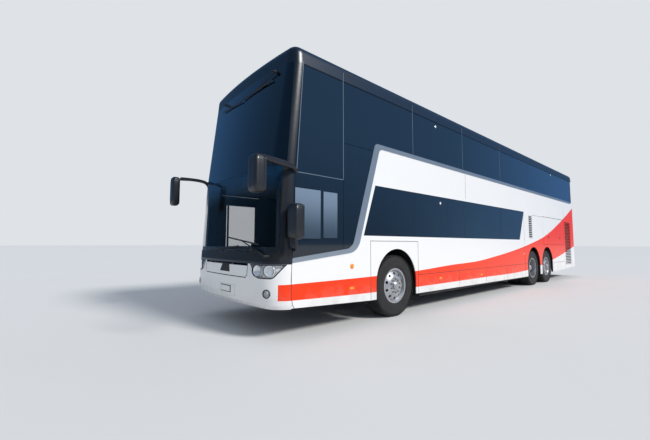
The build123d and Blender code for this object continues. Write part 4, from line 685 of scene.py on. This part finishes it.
nut_piece = hidden_piece("wheel_nut", nut)
mirrored_nut = hidden_piece("wheel_nut_right", nut)
mirrored_nut.data.transform(Matrix.Rotation(math.pi, 4, "Z"))
for axle, station in wheels:
    for side, word in ((1, "left"), (-1, "right")):
        seat, circle = (0.924, 0.155) if axle == "drive" else (1.229, 0.115)
        grown(f"wheel_nuts_{axle}_{word}", ring_of_pieces,
              {"Count": 10, "Radius": circle, "Turn": 0.0, "Finish": nut_material,
               "Piece": nut_piece if side > 0 else mirrored_nut,
               "Centre": (side * seat, nose + station, tyre_radius)}, f"wheel_{axle}_{word}")


# Underframe, axles, housings and engine: painted steel and moulded linings under the body,
# with patches of road dirt.
under_material, under_shader, under_place = finish("under_paint", "frame_black", Coat_Weight=0.0)
under_dirt = under_place.noise(6, 6).rise(0.4, 0.75)
feed(under_shader, Base_Color=under_dirt.mix(tint("1c1d20"), tint("4a443c")), Roughness=0.55 + under_dirt * 0.3)
coat(under_material, "chassis_frame", "front_axle", "drive_axle", "tag_axle", "knuckle_left", "knuckle_right",
     "track_rod")
lining_material, lining_shader, lining_place = finish("housing_lining", "lining_black")
lining_dirt = lining_place.noise(9, 6).rise(0.4, 0.8)
feed(lining_shader, Base_Color=(lining_dirt * 0.6).mix(tint("131416"), tint("3c3832")),
     Roughness=0.7 + lining_dirt * 0.2, Normal=lining_place.noise(150).bump(0.2, 0.002))
coat(lining_material, "wheel_housings")
engine_material, engine_shader, engine_place = finish("engine_paint", "engine_grey", Metallic=0.2)
feed(engine_shader, Base_Color=engine_place.noise(10, 6).mix(tint("5c6062"), tint("2e2d2b")),
     Roughness=0.5 + engine_place.noise(60) * 0.2)
coat(engine_material, "engine_block")


# Floors, stairs and bulkheads: ply decks under speckled vinyl sheet, glued down. The bulkheads,
# the dashboard, the steering wheel and the wipers are in the same grained black trim.
vinyl_material, vinyl_shader, vinyl_place = finish("floor_vinyl", "floor_grey", Coat_Weight=0.05)
vinyl_flecks = vinyl_place.add("TexVoronoi", {"Vector": vinyl_place, "Scale": 160.0})
feed(vinyl_shader, Base_Color=(vinyl_flecks < 0.25).mix(tint("3b3e44"), tint("7c8088")),
     Roughness=0.55 + vinyl_place.noise(20) * 0.15, Normal=vinyl_flecks.bump(0.1, 0.001))
coat(vinyl_material, "floor_lower", "floor_upper", "stairs", "luggage_floor")
coat(trim_material, "bulkheads", "dashboard", "steering_wheel", "wipers")


# Seats: padded double seats in blue woven cloth on moulded shells, bolted to the decks in rows.
# Each has two cushions, two backs and two head pads, and the driver's seat is a single one.
cloth_material, cloth_shader, cloth_place = finish("seat_cloth", "seat_blue", Sheen_Weight=0.3)
cloth_weave = cloth_place.add("TexWave", {"Vector": cloth_place, "Scale": 120.0, "Distortion": 1.0},
                              bands_direction="DIAGONAL")
cloth_spots = cloth_place.add("TexVoronoi", {"Vector": cloth_place, "Scale": 14.0})
feed(cloth_shader, Base_Color=(cloth_spots < 0.22).mix(tint("1c2a4c"), tint("8f3a2c")),
     Roughness=0.85 + cloth_weave * 0.1, Normal=cloth_weave.bump(0.3, 0.001))
shell_material, shell_shader, shell_place = finish("seat_shell", "trim_black")
feed(shell_shader, Base_Color=shell_place.noise(4).mix(tint("2a2c30"), tint("36383c")),
     Roughness=0.5 + shell_place.noise(90) * 0.15)
seat_middles = (-0.232, 0.232)


def pad(shape, middle, size, lean=0.0, crown=0.02):
    """A crowned cushion whose sides pull in between its corners."""
    cushion = bmesh.new()
    bmesh.ops.create_cube(cushion, size=2)
    bmesh.ops.subdivide_edges(cushion, edges=cushion.edges[:], cuts=5, use_grid_fill=True)
    tilt = Matrix.Rotation(lean, 3, "X")
    for vert in cushion.verts:
        u, v, w = vert.co
        round_off = (abs(u) ** 7 + abs(v) ** 7 + abs(w) ** 7) ** (1 / 7)
        u, v, w = u / round_off, v / round_off, w / round_off
        swell = crown * (1 - u * u) * (1 - v * v)
        point = Vector((u * size[0] / 2 * (0.97 + 0.03 * v * v), v * size[1] / 2 * (0.97 + 0.03 * u * u),
                        w * size[2] / 2 + (swell if w > 0 else -swell * 0.3)))
        vert.co = tilt @ point + Vector(middle)
    made = bpy.data.meshes.new("cushion")
    cushion.to_mesh(made)
    cushion.free()
    shape.from_mesh(made)
    bpy.data.meshes.remove(made)


def double_pads(shape):
    """The pads of a double seat, from its front foot, with its middle on the Y axis."""
    for across in seat_middles:
        pad(shape, (across, 0.225, 0.41), (0.44, 0.43, 0.09))
        pad(shape, (across, 0.53, 0.70), (0.43, 0.09, 0.52), lean=-0.13, crown=0.0)
        pad(shape, (across, 0.575, 1.03), (0.27, 0.075, 0.15), lean=-0.13, crown=0.0)


def double_shell(shape):
    """Seat pans, back shells and the pedestal of a double seat."""
    parts = [((0, 0.235, 0.352), (0.92, 0.42, 0.035)), ((0, 0.28, 0.17), (0.55, 0.16, 0.33)),
             ((0, 0.28, 0.012), (0.62, 0.30, 0.024))]
    parts += [((across, 0.578, 0.74), (0.41, 0.03, 0.66)) for across in seat_middles]
    for (x, y, z), (wide, deep, tall) in parts:
        place = Matrix.Translation((x, y, z)) @ Matrix.Diagonal((wide, deep, tall, 1))
        made = bmesh.ops.create_cube(shape, size=1, matrix=place)
        if tall > 0.5:
            for vert in made["verts"]:
                vert.co.y += (vert.co.z - 0.6) * 0.11
        edges = list({edge for vert in made["verts"] for edge in vert.link_edges})
        bmesh.ops.bevel(shape, geom=edges, offset=0.01, segments=2, affect="EDGES")


def row_tree():
    """Copies of a piece in a straight row."""
    tree, given = new_tree("row_of_pieces", (("Count", "Int"), ("First", "Vector"), ("Step", "Vector"),
                                             ("Piece", "Object"), ("Finish", "Material")))
    points = tree_node(tree, "GeometryNodeMeshLine", {"Count": given["Count"], "Start Location": given["First"],
                                                      "Offset": given["Step"]})
    copy_on(tree, given, points.outputs[0])
    return tree


row_of_pieces = row_tree()
pads_piece = hidden_piece("double_pads", double_pads)
shell_piece = hidden_piece("double_shell", double_shell)
# Rows of each deck: across, first station, floor height, count and pitch
seat_runs = {
    "upper": ((-0.725, 1.25, 2.25, 15, 0.8), (0.725, 1.25, 2.25, 5, 0.8), (0.725, 7.65, 2.25, 7, 0.8)),
    "lower": ((0.725, 3.48, 0.38, 2, 0.78), (-0.725, 3.48, 0.38, 2, 0.78), (-0.725, 6.9, 0.38, 2, 0.78),
              (0.725, 7.4, 0.38, 2, 0.62)),
}
for deck, runs in seat_runs.items():
    for number, (across, station, floor, count, pitch) in enumerate(runs):
        inputs = {"Count": count, "First": (across, nose + station, floor), "Step": (0.0, pitch, 0.0)}
        pads = grown(f"seat_pads_{deck}_{number}", row_of_pieces,
                     {**inputs, "Piece": pads_piece, "Finish": cloth_material}, "body")
        grown(f"seat_shells_{deck}_{number}", row_of_pieces,
              {**inputs, "Piece": shell_piece, "Finish": shell_material}, "body")
        if number == 0:
            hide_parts(f"seats_{deck}")


def driver_pads(shape):
    """The driver's cushion, back and head pad."""
    pad(shape, (0, 0.225, 0.41), (0.50, 0.44, 0.10))
    pad(shape, (0, 0.53, 0.72), (0.48, 0.10, 0.56), lean=-0.13, crown=0.0)
    pad(shape, (0, 0.578, 1.05), (0.28, 0.08, 0.13), lean=-0.13, crown=0.0)


driver_piece = hidden_piece("driver_pads", driver_pads)
driver_seat = grown("driver_seat_pads", row_of_pieces,
                    {"Count": 1, "First": (0.64, nose + 1.3, 0.8), "Step": (0.0, 0.0, 0.0),
                     "Piece": driver_piece, "Finish": cloth_material}, "body")
boxes("driver_seat_base", [((0.44, nose + 1.42, 0.8), (0.84, nose + 1.68, 1.15))], shell_material, "body",
      bevel=0.02)


# Door arms: swinging arms of black painted steel, welded to their posts inside the doorways and
# pinned to the leaves.
coat(under_material, "door_front_arm", "door_middle_arm")


# Mirrors: silvered glass facing the driver in black housings on tubular arms. A rounded moulded
# cowl is clipped over each housing, and a smooth sleeve over each of the two long arms.
housing_material, housing_shader, housing_place = finish("mirror_plastic", "trim_black", Coat_Weight=0.15)
feed(housing_shader, Base_Color=housing_place.noise(5).mix(tint("101216"), tint("1d2026")),
     Roughness=0.35 + housing_place.noise(120) * 0.15)
coat(housing_material, "mirrors")
silver_material, silver_shader, silver_place = finish("mirror_silver", "rim_silver", Metallic=1.0)
feed(silver_shader, Base_Color=silver_place.noise(3).mix(tint("c8d0d6"), tint("d6dce0")),
     Roughness=0.03 + silver_place.noise(40) * 0.02)
glass_rim = 0.016
# Across, station and height of each housing's rear middle, then its width and height
housings = ((1.440, -0.19, 2.040, 0.19, 0.40), (1.410, 0.385, 1.520, 0.19, 0.42),
            (-1.400, -0.25, 2.170, 0.18, 0.47))
glass_spans = []
for across, station, height, wide, tall in housings:
    half, rise = wide / 2 - glass_rim, tall / 2 - glass_rim
    glass_spans.append(((across - half, nose + station - 0.008, height - rise),
                        (across + half, nose + station - 0.003, height + rise)))
boxes("mirror_glasses", glass_spans, silver_material, "body")
# Routes of the long arms: across, station and height
upper_arm = ((1.262, 0.42, 2.195), (1.33, 0.33, 2.238), (1.385, 0.05, 2.262), (1.44, -0.25, 2.262))
right_arm = ((-1.18, 0.262, 2.10), (-1.18, 0.24, 2.33), (-1.30, 0.06, 2.405), (-1.39, -0.22, 2.405))


def sleeve(name, route, radius, material, body):
    """A smooth moulded sleeve along a route of across, station and height."""
    curve = bpy.data.curves.new(name, "CURVE")
    curve.dimensions = "3D"
    curve.bevel_depth = radius
    curve.bevel_resolution = 5
    curve.use_fill_caps = True
    run = curve.splines.new("NURBS")
    run.points.add(len(route) - 1)
    for point, (across, station, height) in zip(run.points, route):
        point.co = (across, nose + station, height, 1)
    run.use_endpoint_u = True
    run.order_u = 3
    drawn = bpy.data.objects.new(name, curve)
    bpy.context.scene.collection.objects.link(drawn)
    bpy.context.view_layer.update()
    mesh = bpy.data.meshes.new_from_object(drawn.evaluated_get(bpy.context.evaluated_depsgraph_get()))
    bpy.data.objects.remove(drawn)
    mesh.name = name
    mesh.materials.clear()
    mesh.materials.append(material)
    return dressed(bpy.data.objects.new(name, mesh), body)


sleeve("mirror_arm_sleeve_left", upper_arm, 0.030, housing_material, "body")
sleeve("mirror_arm_sleeve_right", right_arm, 0.028, housing_material, "body")
# Across, station and height of each cowl's middle, then its sizes
cowl_sizes = ((1.440, -0.262, 2.045, 0.205, 0.14, 0.445), (1.410, 0.315, 1.515, 0.205, 0.14, 0.455),
              (-1.400, -0.308, 2.165, 0.195, 0.12, 0.510))
cowls = bmesh.new()
for across, station, height, wide, deep, tall in cowl_sizes:
    pad(cowls, (across, nose + station, height), (wide, deep, tall), crown=0.0)
built("mirror_cowls", cowls, housing_material, "body", smooth=True)


# Number plates: blank white sheets in black moulded holders, screwed to the bumper and under the
# engine lid. The dark plate on the front flap is a bent sheet with slanting ends.
tail = nose + body_length
boxes("plate_panel", [((-0.10, nose + 0.001, 0.507), (0.37, nose + 0.035, 0.655))], skin, "body", bevel=0.006)
boxes("plate_holders", [((-0.055, nose - 0.002, 0.540), (0.275, nose + 0.012, 0.640)),
                        ((-0.275, tail, 0.391), (0.275, tail + 0.006, 0.505))],
      trim_material, "body", bevel=0.002)
boxes("number_plates", [((-0.040, nose - 0.006, 0.551), (0.260, nose - 0.001, 0.629)),
                        ((-0.26, tail, 0.398), (0.26, tail + 0.009, 0.498))],
      plate_material, "body", bevel=0.001)
flap_sheet = bmesh.new()
sheet_corners = ((-0.10, 0.0015, 0.833), (0.22, 0.0035, 0.833), (0.19, 0.0090, 0.950), (-0.03, 0.0075, 0.950))
for x, station, z in sheet_corners:
    flap_sheet.verts.new((x, nose + station - 0.001, z))
    flap_sheet.verts.new((x, nose + station + 0.006, z))
bmesh.ops.convex_hull(flap_sheet, input=flap_sheet.verts)
built("flap_plate", flap_sheet, trim_material, "front_flap")


# Plain pale floor and studio light: one large soft key lamp high on the coach's left, and an even
# pale sky that is bluer where glossy surfaces mirror it.
floor_mesh = bpy.data.meshes.new("studio_floor")
floor_mesh.from_pydata([(-300, -300, 0), (300, -300, 0), (300, 300, 0), (-300, 300, 0)], [], [(0, 1, 2, 3)])
studio_floor = bpy.data.objects.new("studio_floor", floor_mesh)
bpy.context.scene.collection.objects.link(studio_floor)
stage_material, stage_shader, stage_place = finish("studio_grey", "floor_grey", Roughness=0.9)
feed(stage_shader, Base_Color=stage_place.noise(0.4).mix(tint("d8d8d7"), tint("dcdcdb")))
floor_mesh.materials.append(stage_material)
world = bpy.data.worlds.new("studio")
bpy.context.scene.world = world
world.use_nodes = True
sky = Wire(world.node_tree, world.node_tree.nodes["Background"].outputs[0])
by_camera = sky.add("LightPath", {})
by_gloss, by_transmission = by_camera.output(3), by_camera.output(6)
lit = by_gloss.mix(tint("b0b9c6"), tint("4c74a0"))
sky_mix = by_camera.either(by_transmission).mix(lit, tint("dfe3e7"))
world.node_tree.links.new(sky_mix.socket, world.node_tree.nodes["Background"].inputs[0])


sun_data = bpy.data.lights.new("key", "SUN")
sun_data.energy = 2.8
sun_data.angle = math.radians(14)
sun_data.color = (1.0, 0.98, 0.95)
sun = bpy.data.objects.new("key", sun_data)
sun.rotation_euler = Vector((-20, -6, -17)).to_track_quat("-Z", "Y").to_euler()
bpy.context.scene.collection.objects.link(sun)


# Camera: set low at the coach's front left, as the photo was taken, with the same wide view and
# the same slight upward tilt.
image_width = 650
focal_pixels = 333.7
sensor = 36
camera_data = bpy.data.cameras.new("camera")
camera_data.lens = sensor * focal_pixels / image_width
camera_data.sensor_width = sensor
camera_data.clip_end = 1000
camera = bpy.data.objects.new("camera", camera_data)
yaw, pitch, roll = math.radians(-49.05), math.radians(4.13), math.radians(0.10)
forward = Vector((math.sin(yaw) * math.cos(pitch), math.cos(yaw) * math.cos(pitch), math.sin(pitch)))
level_right = Vector((math.cos(yaw), -math.sin(yaw), 0))
level_up = level_right.cross(forward)
right = math.cos(roll) * level_right + math.sin(roll) * level_up
up = right.cross(forward)
aim = Matrix((right, up, -forward)).transposed().to_4x4()
camera.matrix_world = Matrix.Translation((4.82, -9.023, 1.232)) @ aim
bpy.context.scene.collection.objects.link(camera)
bpy.context.scene.camera = camera
bpy.context.scene.view_settings.view_transform = "Standard"
